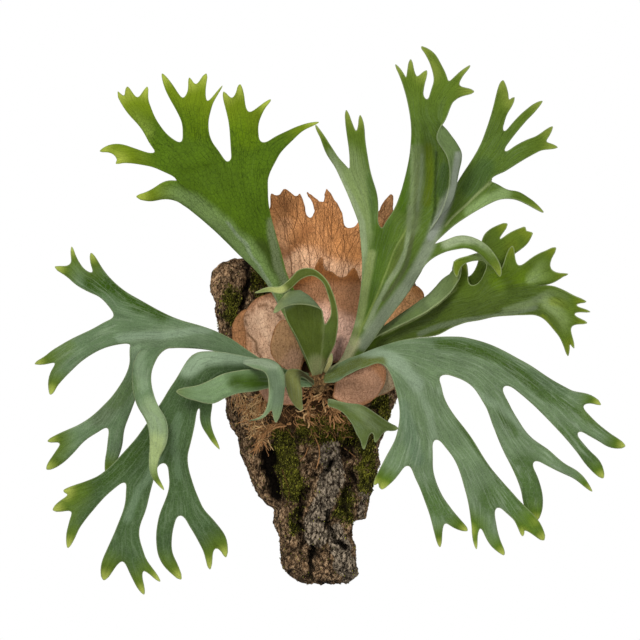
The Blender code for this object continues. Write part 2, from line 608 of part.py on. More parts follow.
# --- Papery shield fronds clasping the root mass ---
back_a = ([(-14, -49, 170, -41, 178, -23, 179, -15, 173)], [
    (0, 1, tip((-12, -49, 184))),
    (1, 2, tip((-12, -41, 185, -28, 185), (-11, -35, 189))),
    (2, 3, tip((-12, -20, 184)))])
back_b = ([(-14, -4, 168, 4, 174, 22, 168)], [
    (0, 1, tip((-12, -8, 177, 0, 176), (-10, -13, 186))),
    (1, 2, tip((-12, 5, 181, 14, 178), (-10, 7, 189)))])
back_c = ([(-15, 39, 154, 56, 160, 73, 165)], [
    (0, 1, tip((-13, 45, 176))),
    (1, 2, tip((-13, 61, 171, 73, 174), (-12, 71, 184)))])
shield_back = ([
    [(-20, 16, -19), (0, 18, -17), (20, 16, -19)],
    [(-40, 50, -29), (2, 52, -20), (52, 50, -30)],
    [(-50, 90, -28), (4, 92, -21), (66, 88, -32)],
    [(-54, 130, -24), (6, 132, -17), (78, 126, -27)],
    (-16, -54, 162, -14, 162, -8, 161, 24, 155, 31, 149, 75, 150)], [
    (0, 1, back_a), (2, 3, back_b), (4, 5, back_c)])
shield_middle = ([
    [(-12, 15, -14), (4, 17, -12), (18, 14, -14)],
    [(-32, 42, -22), (4, 44, -12), (42, 42, -23)],
    [(-36, 72, -24), (4, 74, -13), (48, 72, -26)],
    (-13, -30, 94, -6, 104, 4, 105, 20, 94, 42, 95)], [
    (0, 1, tip((-12, -16, 108))),
    (1, 2, tip((-10, -5, 112, 3, 112), (-8, 2, 121))),
    (2, 3, tip((-11, 12, 106))),
    (3, 4, tip((-10, 28, 102, 39, 100), (-9, 34, 110)))])
shield_left = ([
    [(-60, -4, -24), (-38, -2, -15), (-18, 2, -13)],
    [(-74, 22, -27), (-46, 24, -12), (-19, 26, -12)],
    [(-75, 44, -26), (-48, 46, -11), (-21, 48, -13)],
    [(-77, 62, -26), (-52, 66, -13), (-26, 68, -16)],
    [(-68, 76, -25), (-57, 83, -18), (-38, 86, -19)]], [])
shield_left_rear = ([
    [(-82, 12, -34), (-64, 12, -30)],
    [(-88, 38, -34), (-66, 38, -30)],
    [(-86, 59, -33), (-68, 62, -30)],
    [(-80, 66, -33), (-72, 70, -31)]], [])
shield_oval = tip([(-30, 6, -7), (-20, 5, -6)], [(-46, 18, -9), (-30, 16, -3), (-17, 14, -6)],
                  [(-50, 30, -9), (-32, 30, -2), (-16, 30, -6)],
                  [(-47, 43, -9), (-34, 44, -4), (-22, 45, -7)], [(-37, 58, -7)])
shield_low_left = ([
    [(-62, 2, -28), (-36, -6, -17), (-13, -8, -14)],
    [(-63, -10, -28), (-38, -14, -18), (-16, -17, -17)],
    [(-54, -25, -28), (-38, -27, -21), (-22, -27, -20)]], [])
shield_right = ([
    [(52, 70, -37), (62, 56, -35), (70, 40, -38)],
    [(72, 86, -37), (84, 72, -34), (92, 56, -38)],
    [(93, 93, -35), (100, 91, -34), (106, 78, -36)]], [])
shield_low_right = ([
    [(14, -4, -8), (14, -12, -7), (12, -20, -9)],
    [(38, 8, -10), (34, -10, -3), (28, -26, -12)],
    [(58, 15, -18), (54, -4, -8), (44, -27, -20)],
    [(67, 8, -24), (64, -6, -19), (56, -20, -24)]], [])
shield_low_rear = ([
    [(52, 16, -26), (48, -8, -20), (40, -22, -26)],
    [(66, 14, -29), (66, -4, -25), (58, -19, -29)],
    [(76, -2, -32), (76, -9, -31), (70, -14, -32)]], [])

sheet("shield_back", shield_back, SHIELD_THICK, shield_orange, 0.0, pitch=0.022)
sheet("shield_middle", shield_middle, SHIELD_THICK, shield_brown, 0.0, pitch=0.02)
sheet("shield_left", shield_left, SHIELD_THICK, shield_tan, 0.0, 5, trim=False)
sheet("shield_left_rear", shield_left_rear, SHIELD_THICK, shield_rear, 0.05, 3, trim=False)
sheet("shield_oval", shield_oval, SHIELD_THICK, shield_olive, 0.0, 4, trim=False)
sheet("shield_low_left", shield_low_left, SHIELD_THICK, shield_low, 0.0, 5, trim=False)
sheet("shield_right", shield_right, SHIELD_THICK, shield_side, 0.0, 4, trim=False)
sheet("shield_low_right", shield_low_right, SHIELD_THICK, shield_pink, 0.0, 5, trim=False)
sheet("shield_low_rear", shield_low_rear, SHIELD_THICK, shield_rim, 0.0, 4, trim=False)

# --- Bark slab: rough front, sawn flat back ---
LEFT_SIDE = [(-208, -15), (-201, -29), (-191, -38), (-176, -40), (-159, -41), (-150, -46),
             (-132, -46), (-128, -53), (-119, -62), (-107, -68), (-91, -74), (-78, -80),
             (-59, -83), (-50, -90), (-34, -95), (-14, -94), (20, -98), (46, -102),
             (57, -103), (66, -106), (76, -105), (84, -110), (95, -111), (108, -108),
             (115, -101), (120, -86)]
RIGHT_SIDE = [(-208, 29), (-198, 39), (-184, 36), (-170, 36), (-160, 32), (-144, 33),
              (-142, 46), (-127, 49), (-110, 53), (-96, 57), (-87, 60), (-72, 58),
              (-55, 65), (-38, 70), (-20, 78), (0, 81), (30, 87), (60, 93), (82, 99),
              (96, 96), (108, 86), (120, 71)]


def side_at(table, z):
    for (z0, x0), (z1, x1) in zip(table, table[1:]):
        if z <= z1:
            t = max(0.0, (z - z0) / (z1 - z0))
            return x0 + (x1 - x0) * t
    return table[-1][1]


def bark_relief(x, z):
    # long plates and fissures running down the slab
    p = Vector((x * 0.030, z * 0.011, 1.7))
    ridge = abs(noise.noise(p)) * 2 + 0.5 * abs(noise.noise(p * 2.3))
    split = math.exp(-((x + 42 + 0.12 * (z + 90)) / 9) ** 2) if z < -40 else 0.0
    return min(ridge, 1.0) * 9.0 - 13.0 * split


def bark_shape(cols=17):
    bm = bmesh.new()
    bottom = LEFT_SIDE[0][0]
    top = LEFT_SIDE[-1][0]
    count = int((top - bottom) / (BARK_STEP / MM))  # rings of vertices up the slab
    rings = []
    for r in range(count + 1):
        z = bottom + (top - bottom) * r / count
        left = side_at(LEFT_SIDE, z)
        right = side_at(RIGHT_SIDE, z)
        ends = min(1.0, 0.45 + 0.55 * math.sqrt(min(1.0, 18 * min(r, count - r) / count)))
        ring = [bm.verts.new((left * MM + 0.002, 0.0, z * MM))]
        for c in range(cols + 1):
            u = c / cols
            x = left + (right - left) * (0.5 - 0.5 * math.cos(math.pi * u))
            arc = abs(2 * u - 1)
            depth = BARK_DEPTH / MM * (1 - arc ** 4) ** 0.5 * ends
            if z > 20:
                depth *= 1.0 - 0.15 * (z - 20) / 100
            lift = 0 if c in (0, cols) else bark_relief(x, z)
            d = max(8.0, depth - 4 + lift)
            if d > 39.5:
                d = 39.5
            ring.append(bm.verts.new((x * MM, -d * MM, z * MM)))
        ring.append(bm.verts.new((right * MM - 0.002, 0.0, z * MM)))
        rings.append(ring)
    for a, b in zip(rings, rings[1:]):
        for i in range(len(a) - 1):
            bm.faces.new((a[i], a[i + 1], b[i + 1], b[i]))
        bm.faces.new((a[-1], a[0], b[0], b[-1]))
    bm.faces.new(rings[0][::-1])
    bm.faces.new(rings[-1])
    tidy(bm)
    return bm


bark = to_object(bark_shape(), "bark_slab", bark_brown)

# shallow pocket in the back for the hanging plate
POCKET = (0.0, 0.060)
PLATE_SIZE = (0.060, 0.024)


def block(cx, cz, w, h, y0, y1):
    bm = bmesh.new()
    bmesh.ops.create_cube(bm, size=1.0)
    for v in bm.verts:
        v.co = Vector((cx + v.co.x * w, (y0 + y1) / 2 + v.co.y * abs(y1 - y0), cz + v.co.z * h))
    return bm


def rod(cx, cz, radius, y0, y1, sides=20):
    bm = bmesh.new()
    bmesh.ops.create_cone(bm, cap_ends=True, segments=sides, radius1=radius,
                          radius2=radius, depth=abs(y1 - y0))
    for v in bm.verts:
        v.co = Vector((cx + v.co.x, (y0 + y1) / 2 + v.co.z, cz - v.co.y))
    bm.normal_update()
    bmesh.ops.recalc_face_normals(bm, faces=bm.faces)
    return bm


pocket = cutter("pocket", block(POCKET[0], POCKET[1], PLATE_SIZE[0] + 0.0008,
                                PLATE_SIZE[1] + 0.0008, -HANGER_DEPTH - 0.0003, 0.004))
subtract(bark, pocket)
plate = to_object(block(POCKET[0], POCKET[1], PLATE_SIZE[0], PLATE_SIZE[1],
                        -HANGER_DEPTH, -0.0008), "hanger_plate", steel)
keyhole = cutter("keyhole", rod(POCKET[0], POCKET[1], 0.0045, -0.0046, 0.004, 24))
subtract(plate, keyhole)
hollow = cutter("nail_hollow", rod(POCKET[0], POCKET[1], 0.0065, -0.012, 0.004, 24))
subtract(bark, hollow)
for side, label in ((-1, "left"), (1, "right")):
    sx = POCKET[0] + side * 0.021
    hole = cutter("plate_hole_" + label, rod(sx, POCKET[1], 0.0020, -0.006, 0.004))
    subtract(plate, hole)
    bore = cutter("bark_hole_" + label, rod(sx, POCKET[1], 0.0020, -0.0165, 0.004))
    subtract(bark, bore)
    screw = to_object(rod(sx, POCKET[1], 0.0017, -0.016, -0.0006), "hanger_screw_" + label,
                      screw_steel)

# --- Root mass between the bark and the shields, with hanging root strands ---
rng = random.Random(7)


def root_mass():
    bm = bmesh.new()
    bmesh.ops.create_icosphere(bm, subdivisions=4, radius=1.0)
    for v in bm.verts:
        n = v.co.normalized()
        bump = 1 + 0.05 * noise.noise(n * 3.1) + 0.03 * noise.noise(n * 7.0)
        x = n.x * 60 * bump - 5
        z = n.z * 58 * bump + 2
        y = 49 + (-n.y) * 16 * bump
        if y < 39.9:
            y = 39.9
        v.co = Vector((x * MM, -y * MM, z * MM))
    tidy(bm)
    return bm


def strand(x, z, f, length, lean, radius):
    bm = bmesh.new()
    rings = []
    for k in range(5):
        t = k / 4
        r = radius * (1 - 0.6 * t)
        cx = x + lean * t + 2.0 * math.sin(3 * t + x)
        cz = z - length * t
        cf = f + 1.5 * math.sin(4 * t + z)
        ring = []
        for s in range(5):
            a = 2 * math.pi * s / 5
            ring.append(bm.verts.new(place(cx + r * math.cos(a), cz, cf + r * math.sin(a))))
        rings.append(ring)
    for a, b in zip(rings, rings[1:]):
        for i in range(5):
            bm.faces.new((a[i], a[(i + 1) % 5], b[(i + 1) % 5], b[i]))
    bm.faces.new(rings[0][::-1])
    bm.faces.new(rings[-1])
    tidy(bm)
    return bm


root_ball = to_object(root_mass(), "root_ball", root_brown)
strands = bpy.data.collections.new("root_strands")
bpy.context.scene.collection.children.link(strands)
for i in range(13):
    x = -56 + 7.0 * i + rng.uniform(-2, 2)
    ratio = math.sqrt(max(0.05, 1 - ((x + 5) / 60) ** 2))
    z = -28 * ratio + rng.uniform(-3, 3)
    front = math.sqrt(max(0.0, ratio ** 2 - ((z - 2) / 58) ** 2))
    tube = strand(x, z, -88 + 47 + 15 * front, rng.uniform(28, 44), rng.uniform(-9, 9),
                  rng.uniform(1.7, 2.4))
    root = cutter("root_strand_%02d" % i, tube)
    bpy.context.scene.collection.objects.unlink(root)
    strands.objects.link(root)
fuse = root_ball.modifiers.new("fused_strands", "BOOLEAN")
fuse.operation = "UNION"
fuse.solver = "EXACT"
fuse.operand_type = "COLLECTION"
fuse.collection = strands
subtract(root_ball, crown_cut)
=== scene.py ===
import bpy
import bmesh
import math
import random
from mathutils import Matrix, Vector, noise
from mathutils.bvhtree import BVHTree
from mathutils.geometry import intersect_point_line
from mathutils.kdtree import KDTree


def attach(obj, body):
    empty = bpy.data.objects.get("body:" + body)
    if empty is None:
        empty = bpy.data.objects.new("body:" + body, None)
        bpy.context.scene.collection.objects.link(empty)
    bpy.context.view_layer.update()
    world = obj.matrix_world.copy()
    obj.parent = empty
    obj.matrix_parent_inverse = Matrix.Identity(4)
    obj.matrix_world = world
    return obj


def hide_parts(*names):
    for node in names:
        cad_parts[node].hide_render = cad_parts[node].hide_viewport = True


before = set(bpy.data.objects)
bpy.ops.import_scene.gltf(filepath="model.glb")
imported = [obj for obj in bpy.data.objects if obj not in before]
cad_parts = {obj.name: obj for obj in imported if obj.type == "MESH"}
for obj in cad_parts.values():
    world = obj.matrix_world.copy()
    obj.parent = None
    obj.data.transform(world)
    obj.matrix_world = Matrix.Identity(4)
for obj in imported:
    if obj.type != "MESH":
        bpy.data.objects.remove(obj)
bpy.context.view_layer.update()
print("frame loaded")

unit = 0.001           # shapes are given in mm, colours of leaves in thousandths
crownOut = 0.088       # growing point to wall, as in the solids
noise.seed_set(7)      # noise_vector starts from the clock without it


# one socket of a material, with arithmetic
class Wire:
    def __init__(self, finish, socket):
        self.finish = finish
        self.socket = socket

    def calc(self, operation, *values):
        return self.finish.node("ShaderNodeMath", {"operation": operation}, dict(enumerate(values)))

    def size(self):
        return self.calc("ABSOLUTE", self)

    def __add__(self, other):
        return self.calc("ADD", self, other)

    def __radd__(self, other):
        return self.calc("ADD", other, self)

    def __sub__(self, other):
        return self.calc("SUBTRACT", self, other)

    def __rsub__(self, other):
        return self.calc("SUBTRACT", other, self)

    def __mul__(self, other):
        return self.calc("MULTIPLY", self, other)

    def __rmul__(self, other):
        return self.calc("MULTIPLY", other, self)


# a material and the few nodes its looks are made from
class Finish:
    def __init__(self, name, shine=0.03):
        self.material = bpy.data.materials.new(name)
        self.material.use_nodes = True
        self.tree = self.material.node_tree
        self.shader = self.tree.nodes["Principled BSDF"]
        self.put(self.shader, "Specular IOR Level", shine)

    def put(self, holder, key, value):
        socket = holder.inputs[key]
        if isinstance(value, Wire):
            self.tree.links.new(value.socket, socket)
        else:
            socket.default_value = (*value, 1.0) if socket.type == "RGBA" else value

    def node(self, kind, settings=None, sockets=None, out=0):
        made = self.tree.nodes.new(kind)
        for key, value in (settings or {}).items():
            setattr(made, key, value)
        for key, value in (sockets or {}).items():
            self.put(made, key, value)
        return Wire(self, made.outputs[out])

    def place(self):
        return self.node("ShaderNodeTexCoord", out="Object")

    def painted(self, name, out="Fac"):
        return self.node("ShaderNodeAttribute", {"attribute_name": name}, out=out)

    def stretch(self, where, *scale):
        return self.node("ShaderNodeVectorMath", {"operation": "MULTIPLY"}, {0: where, 1: scale})

    def shift(self, where, *offset):
        return self.node("ShaderNodeVectorMath", {"operation": "ADD"}, {0: where, 1: offset})

    def dim(self, color, factor):
        return self.node("ShaderNodeVectorMath", {"operation": "SCALE"}, {0: color, "Scale": factor})

    def cloud(self, where, scale, detail=4.0, rough=0.55, warp=0.0, out="Fac"):
        return self.node("ShaderNodeTexNoise", {}, {
            "Vector": where, "Scale": scale, "Detail": detail, "Roughness": rough, "Distortion": warp}, out)

    # 1 along the lines of a net of cells, falling to 0 between low and high
    def net(self, where, scale, low, high):
        cells = self.node("ShaderNodeTexVoronoi", {"feature": "DISTANCE_TO_EDGE"},
                          {"Vector": where, "Scale": scale})
        return self.ease(cells, low, high, 1.0, 0.0)

    def ease(self, value, low, high, start=0.0, end=1.0):
        return self.node("ShaderNodeMapRange", {"interpolation_type": "SMOOTHSTEP"}, {
            "Value": value, "From Min": low, "From Max": high, "To Min": start, "To Max": end})

    def blend(self, amount, first, second):
        return self.node("ShaderNodeMix", {"data_type": "RGBA"}, {0: amount, 6: first, 7: second}, 2)

    def done(self, color, roughness, height=None, depth=None):
        self.put(self.shader, "Base Color", color)
        self.put(self.shader, "Roughness", roughness)
        if height is not None:
            self.put(self.shader, "Normal",
                     self.node("ShaderNodeBump", {}, {"Distance": depth, "Height": height}))
        return self.material


# a row of points is (f, x, z, x, z, ...) or [x, z, f, x, z, f, ...] from the growing point,
# with f towards the room
def unpack(row):
    if isinstance(row, list):
        spots = zip(row[::3], row[1::3], row[2::3])
    else:
        spots = ((x, z, row[0]) for x, z in pairs(row[1:]))
    return [Vector((x * unit, -crownOut - f * unit, z * unit)) for x, z, f in spots]


def pairs(line):
    return list(zip(line[::2], line[1::2]))


# a lobe is a list of rows, or (rows, {gap: lobe}) where lobes grow from gaps between the points
# of its last row, (first, last) for a lobe that spans several
def openLobe(lobe):
    rows, kids = lobe if isinstance(lobe, tuple) else (lobe, {})
    return rows, [(*(gap if isinstance(gap, tuple) else (gap, gap + 1)), kid) for gap, kid in kids.items()]


def curveAt(p0, p1, p2, p3, t):
    d1, d2, d3 = (max((b - a).length, 1e-6) for a, b in ((p0, p1), (p1, p2), (p2, p3)))
    m1 = ((p1 - p0) / d1 - (p2 - p0) / (d1 + d2) + (p2 - p1) / d2) * d2
    m2 = ((p2 - p1) / d2 - (p3 - p1) / (d2 + d3) + (p3 - p2) / d3) * d2
    return (p1 * (2 * t ** 3 - 3 * t ** 2 + 1) + m1 * (t ** 3 - 2 * t ** 2 + t)
            + p2 * (3 * t ** 2 - 2 * t ** 3) + m2 * (t ** 3 - t ** 2))


# lengths along a line of points, from 0 at its start
def runOf(points):
    run = [0.0]
    for a, b in zip(points, points[1:]):
        run.append(run[-1] + (b - a).length)
    return run


# points at shares of a row's length, the row bowed towards the room
def rowAt(points, shares, bow=0.0):
    if len(points) == 2:
        fine = [points[0].lerp(points[1], i / 24) for i in range(25)]
    else:
        ends = [points[0] * 2 - points[1]] + points + [points[-1] * 2 - points[-2]]
        fine = [curveAt(*ends[k:k + 4], i / 12) for k in range(len(points) - 1) for i in range(12)]
        fine.append(points[-1])
    run = runOf(fine)
    total = max(run[-1], 1e-9)
    out = []
    k = 0
    for share in shares:
        while k < len(fine) - 2 and run[k + 1] < share * total:
            k += 1
        part = (share * total - run[k]) / max(run[k + 1] - run[k], 1e-9)
        point = fine[k].lerp(fine[k + 1], min(max(part, 0.0), 1.0))
        out.append(point + Vector((0, -bow * total * 4 * share * (1 - share), 0)))
    return out


# shared by all blades: columns of faces in an open gap, how deep notches dip (share of the gap, most in
# metres, roundness), where blunt ends start and stop on their way, and how the margin is smoothed
bladeForm = {"gapColumns": 4, "dip": 0.38, "mostDip": 0.0055, "dipRound": 0.6, "bluntFrom": 0.88,
             "bluntStops": [0.92, 0.97, 0.99], "rounds": 6, "keepTip": 0.006, "fullPull": 0.0012,
             "mostPull": 0.6, "sharp": 50}


# columns of faces in each gap of a lobe's last row
def columnsOf(lobe, tipColumns):
    rows, kids = openLobe(lobe)
    if not kids:
        return [tipColumns]
    columns = [bladeForm["gapColumns"]] * (len(unpack(rows[-1])) - 1)
    for a, b, kid in kids:
        count = sum(columnsOf(kid, tipColumns))
        columns[a:b] = [count // (b - a)] * (b - a)
        columns[a] += count % (b - a)
    return columns


# last row of a forked blade; the gaps between lobes dip back as rounded notches
def forkRow(points, columns, kids, below):
    out = [points[0]]
    lobed = {k for a, b, kid in kids for k in range(a, b)}
    for k, count in enumerate(columns):
        gap = (points[k + 1] - points[k]).length
        dip = 0.0 if k in lobed else min(bladeForm["dip"] * gap, bladeForm["mostDip"])
        for i in range(1, count + 1):
            share = i / count
            point = points[k].lerp(points[k + 1], share)
            back = (below - point).normalized() * dip
            arch = (4 * share * (1 - share)) ** bladeForm["dipRound"]
            out.append(point + back * arch if i < count else point)
    return out


def forkShares(points, columns):
    run = runOf(points)
    return [0.0] + [(run[k] + (run[k + 1] - run[k]) * i / count) / run[-1]
                    for k, count in enumerate(columns) for i in range(1, count + 1)]


# a lobe keeps its width along its last stretch and ends bluntly
def roundEnd(points, width, t):
    centre = (points[0] + points[-1]) / 2
    half = max((points[-1] - points[0]).length / 2, 1e-6)
    full = width / 2 * (1 - t ** 1.7) ** 0.67
    return [centre + (p - centre) * (full / half) for p in points]


# extrudes the open edge of the blade to a new row of points
def extrudeRow(bm, verts, points):
    edges = [bm.edges.get(pair) for pair in zip(verts, verts[1:])]
    made = bmesh.ops.extrude_edge_only(bm, edges=edges)["geom"]
    fresh = {v for v in made if isinstance(v, bmesh.types.BMVert)}
    row = []
    for vert, point in zip(verts, points):
        row.append(next(e.other_vert(vert) for e in vert.link_edges if e.other_vert(vert) in fresh))
        row[-1].co = point
    return row


# column and length in mm, which the grain of the blade follows
def markFlow(flow, verts, base, along):
    for j, vert in enumerate(verts):
        vert[flow] = Vector((base + j, along / unit, 0.0))


def growLobe(bm, tips, flow, lobe, look, start=None, before=None, verts=None, base=0, along=0.0):
    rows, kids = openLobe(lobe)
    columns = columnsOf(lobe, look["columns"])
    count = sum(columns)
    even = [i / count for i in range(count + 1)]
    target = forkShares(unpack(rows[-1]), columns) if kids else even
    nets = [start] if start else []
    first = len(nets)
    for k, row in enumerate(rows):
        points = unpack(row)
        if len(points) == 1:
            nets.append(points * (count + 1))
        elif kids and k == len(rows) - 1:
            nets.append(forkRow(points, columns, kids, nets[-1][count // 2]))
        else:
            s = (k + first) / max(len(rows) - 1 + first, 1)
            nets.append(rowAt(points, [a * (1 - s) + b * s for a, b in zip(even, target)], look["bow"]))
    tipped = len(points) == 1
    if verts is None:
        before = [a * 2 - b for a, b in zip(nets[0], nets[1])]
        verts = [bm.verts.new(p) for p in nets[0]]
        for pair in zip(verts, verts[1:]):
            bm.edges.new(pair)
        markFlow(flow, verts, base, along)
    for k in range(len(nets) - 1):
        p0 = nets[k - 1] if k else before
        p1, p2 = nets[k], nets[k + 1]
        p3 = nets[k + 2] if k + 2 < len(nets) else [b * 2 - a for a, b in zip(p1, p2)]
        length = max((p2[count // 2] - p1[count // 2]).length, 1e-6)
        steps = max(1, round(length / look["pitch"]))
        stops = [(i + 1) / steps for i in range(steps)]
        last = tipped and k == len(nets) - 2
        if last:
            stops = [s for s in stops if s < bladeForm["bluntFrom"]] + bladeForm["bluntStops"]
        for t in stops:
            points = [curveAt(*around, t) for around in zip(p0, p1, p2, p3)]
            if last:
                points = roundEnd(points, (p1[-1] - p1[0]).length, t)
            verts = extrudeRow(bm, verts, points)
            markFlow(flow, verts, base, along + length * t)
        along += length
    if tipped:
        bmesh.ops.pointmerge(bm, verts=verts, merge_co=nets[-1][0])
        tips.append(nets[-1][0])
    for a, b, kid in kids:
        lo, hi = sum(columns[:a]), sum(columns[:b]) + 1
        growLobe(bm, tips, flow, kid, look, nets[-1][lo:hi], nets[-2][lo:hi], verts[lo:hi], base + lo, along)


# rounds the notches of the margin, leaving the ends of the lobes
def roundMargin(bm, tips):
    edge = [v for v in bm.verts
            if v.is_boundary and all((v.co - end).length > bladeForm["keepTip"] for end in tips)]
    for _ in range(bladeForm["rounds"]):
        moves = []
        for vert in edge:
            near = [e.other_vert(vert).co for e in vert.link_edges if e.is_boundary]
            pull = (near[0] + near[1]) / 2 - vert.co
            moves.append(pull * min(bladeForm["mostPull"], pull.length / bladeForm["fullPull"]))
        for vert, move in zip(edge, moves):
            vert.co += move


# distance in mm from each point to the margin of the blade
def markRim(bm, layer):
    edge = [v for v in bm.verts if v.is_boundary]
    tree = KDTree(len(edge))
    for i, vert in enumerate(edge):
        tree.insert(vert.co, i)
    tree.balance()
    for vert in bm.verts:
        _, index, best = tree.find(vert.co)
        for side in edge[index].link_edges:
            if side.is_boundary:
                a, b = (end.co for end in side.verts)
                _, share = intersect_point_line(vert.co, a, b)
                best = min(best, (vert.co - a.lerp(b, min(max(share, 0.0), 1.0))).length)
        vert[layer] = best / unit


# 1 near a line of (x, z) points, falling to 0 between half and one and a half radii
def nearness(x, z, line, radius):
    best = 1.5 * radius
    if not (min(p[0] for p in line) - best < x < max(p[0] for p in line) + best
            and min(p[1] for p in line) - best < z < max(p[1] for p in line) + best):
        return 0.0
    for a, b in zip(line, line[1:]):
        dx, dz = b[0] - a[0], b[1] - a[1]
        share = ((x - a[0]) * dx + (z - a[1]) * dz) / max(dx * dx + dz * dz, 1e-9)
        share = min(max(share, 0.0), 1.0)
        best = min(best, math.hypot(x - a[0] - dx * share, z - a[1] - dz * share))
    fade = min(1.5 - best / radius, 1.0)
    return fade * fade * (3 - 2 * fade)


def finishMesh(bm, name, material):
    mesh = bpy.data.meshes.new(name)
    bm.to_mesh(mesh)
    bm.free()
    mesh.materials.append(material)
    mesh.shade_smooth()
    mesh.set_sharp_from_angle(angle=math.radians(bladeForm["sharp"]))
    piece = bpy.data.objects.new(name, mesh)
    bpy.context.scene.collection.objects.link(piece)
    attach(piece, "root")
    return piece


# gives the blade its thickness and marks the new skin as the under side
def thicken(piece, thick, count):
    solid = piece.modifiers.new("thickness", "SOLIDIFY")
    solid.thickness = thick
    solid.offset = 0.0
    solid.use_even_offset = False
    graph = bpy.context.evaluated_depsgraph_get()
    mesh = bpy.data.meshes.new_from_object(piece.evaluated_get(graph))
    piece.modifiers.clear()
    piece.data = mesh
    for i in range(count, len(mesh.vertices)):
        mesh.attributes["under"].data[i].value = 1.0


# grows a thin blade; each coat of colour is (color, radius, amount, line, ...), laid over the last
def growBlade(name, lobe, node, look, makeFinish):
    look = {key: [c / 1000 for c in value] if isinstance(value, tuple) else value
            for key, value in look.items()}
    coats = [([c / 1000 for c in color], radius, amount, pairs(line))
             for color, radius, amount, *lines in look["coats"] for line in lines]
    bm = bmesh.new()
    flow, tint = (bm.verts.layers.float_vector.new(key) for key in ("flow", "tint"))
    rim, toTip = (bm.verts.layers.float.new(key) for key in ("rim", "toTip"))
    bm.verts.layers.float.new("under")
    tips = []
    growLobe(bm, tips, flow, lobe, look)
    roundMargin(bm, tips)
    bm.normal_update()
    if sum(f.normal.y * f.calc_area() for f in bm.faces) > 0:
        bmesh.ops.reverse_faces(bm, faces=bm.faces)
        bm.normal_update()
    markRim(bm, rim)
    moves = []
    for vert in bm.verts:
        vert[toTip] = min([(vert.co - end).length / unit for end in tips] + [200.0])
        x, _, z = vert.co / unit + noise.noise_vector(vert.co * 55) * look["stray"]
        color = Vector(look["base"])
        for over, radius, amount, line in coats:
            color = color.lerp(Vector(over), nearness(x, z, line, radius) * amount)
        vert[tint] = color
        swell = noise.noise(vert.co * 22 + Vector((look["seed"], 0, 0))) * look["swell"]
        ripple = noise.noise(vert.co * 75 + Vector((0, look["seed"], 0))) * look["ripple"]
        move = vert.normal * ((swell + ripple) * min(1.0, vert[flow].y / 60))
        if vert.is_boundary:
            fray = noise.noise_vector(vert.co * 400 + Vector((look["seed"], 3, 0)))
            move += (fray - vert.normal * fray.dot(vert.normal)) * look["fray"]
        moves.append(move)
    for vert, move in zip(bm.verts, moves):
        vert.co += move
    count = len(bm.verts)
    piece = finishMesh(bm, name, makeFinish(name, look))
    thicken(piece, look["thick"], count)
    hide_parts(node)
    return piece


# makes many small shapes a batch at a time, which is quicker than all in one
def gather(jobs, layer, make, batch=40):
    whole = bmesh.new()
    whole.verts.layers.float.new(layer)
    for k in range(0, len(jobs), batch):
        bm = bmesh.new()
        mark = bm.verts.layers.float.new(layer)
        for level, *sizes in jobs[k:k + batch]:
            for vert in make(bm, *sizes):
                vert[mark] = level
        mesh = bpy.data.meshes.new("small")
        bm.to_mesh(mesh)
        bm.free()
        whole.from_mesh(mesh)
        bpy.data.meshes.remove(mesh)
    bmesh.ops.recalc_face_normals(whole, faces=whole.faces)
    return whole


# finds the frontmost surface of several pieces at a place in mm
def frontOf(pieces):
    trees = [BVHTree.FromPolygons([v.co for v in piece.data.vertices],
                                  [p.vertices for p in piece.data.polygons]) for piece in pieces]

    def front(x, z):
        start = Vector((x * unit, -1.0, z * unit))
        hits = [tree.ray_cast(start, Vector((0.0, 1.0, 0.0)))[0] for tree in trees]
        return min([hit for hit in hits if hit is not None], key=lambda hit: hit.y, default=None)
    return front


def upTo(aim):
    return Vector((0, 0, 1)).rotation_difference(aim).to_matrix().to_4x4()


# a strand along a line of points, tapering to half
def tube(bm, points, radius, sides):
    aim = (points[1] - points[0]).normalized()
    ring = bmesh.ops.create_circle(bm, cap_ends=True, segments=sides, radius=radius,
                                   matrix=Matrix.Translation(points[0]) @ upTo(aim))["verts"]
    edges = list(dict.fromkeys(e for v in ring for e in v.link_edges))
    every = list(ring)
    for k in range(1, len(points)):
        made = bmesh.ops.extrude_edge_only(bm, edges=edges)["geom"]
        ring = [g for g in made if isinstance(g, bmesh.types.BMVert)]
        edges = [g for g in made if isinstance(g, bmesh.types.BMEdge) and g.is_boundary]
        every += ring
        after = points[min(k + 1, len(points) - 1)] - points[k - 1]
        swing = aim.rotation_difference(after).to_matrix()
        aim = after.normalized()
        for vert in ring:
            vert.co = points[k] + swing @ (vert.co - points[k - 1]) * (1 - 0.5 / len(points))
    bmesh.ops.edgeloop_fill(bm, edges=edges)
    return every


# fan-shaped frond, upper left
fanTipLeft = ([(58, -191, 214, -185, 229), (58, -197, 214, -200, 219, -196, 233)],
    {0: [(57, -203, 213.5)], 1: [(57, -208, 225, -207, 233), (56, -219, 226)]})
fanTipTwo = ([(60, -178, 249, -162, 256), (60, -192, 264, -193, 279, -181, 274, -171, 277)],
    {0: [(60, -199, 275, -196, 280), (60, -201, 285)], 1: [(60, -191, 290)], 2: [(60, -172, 290)]})
fanLeftPair = ([(57, -176, 212, -168, 223, -163, 226, -149, 240)], {0: fanTipLeft, 2: fanTipTwo})
fanThreeMid = ([(62, -131, 285, -124, 288, -114, 284)],
    {0: [(62, -130, 299)], 1: [(62, -120, 295, -113, 293), (62, -113, 303)]})
fanThree = ([(60, -137, 253, -111, 253), (61, -142, 265, -136, 276, -113, 272, -107, 272)],
    {0: [(62, -151, 281, -142, 285), (62, -157, 303)], 1: fanThreeMid,
        2: [(61, -105, 282, -101, 283), (61, -97, 291)]})
fanLeftHalf = ([(54, -152, 204, -98, 222), (56, -166, 210, -142, 235, -136, 237, -108, 236)],
    {0: fanLeftPair, 2: fanThree})
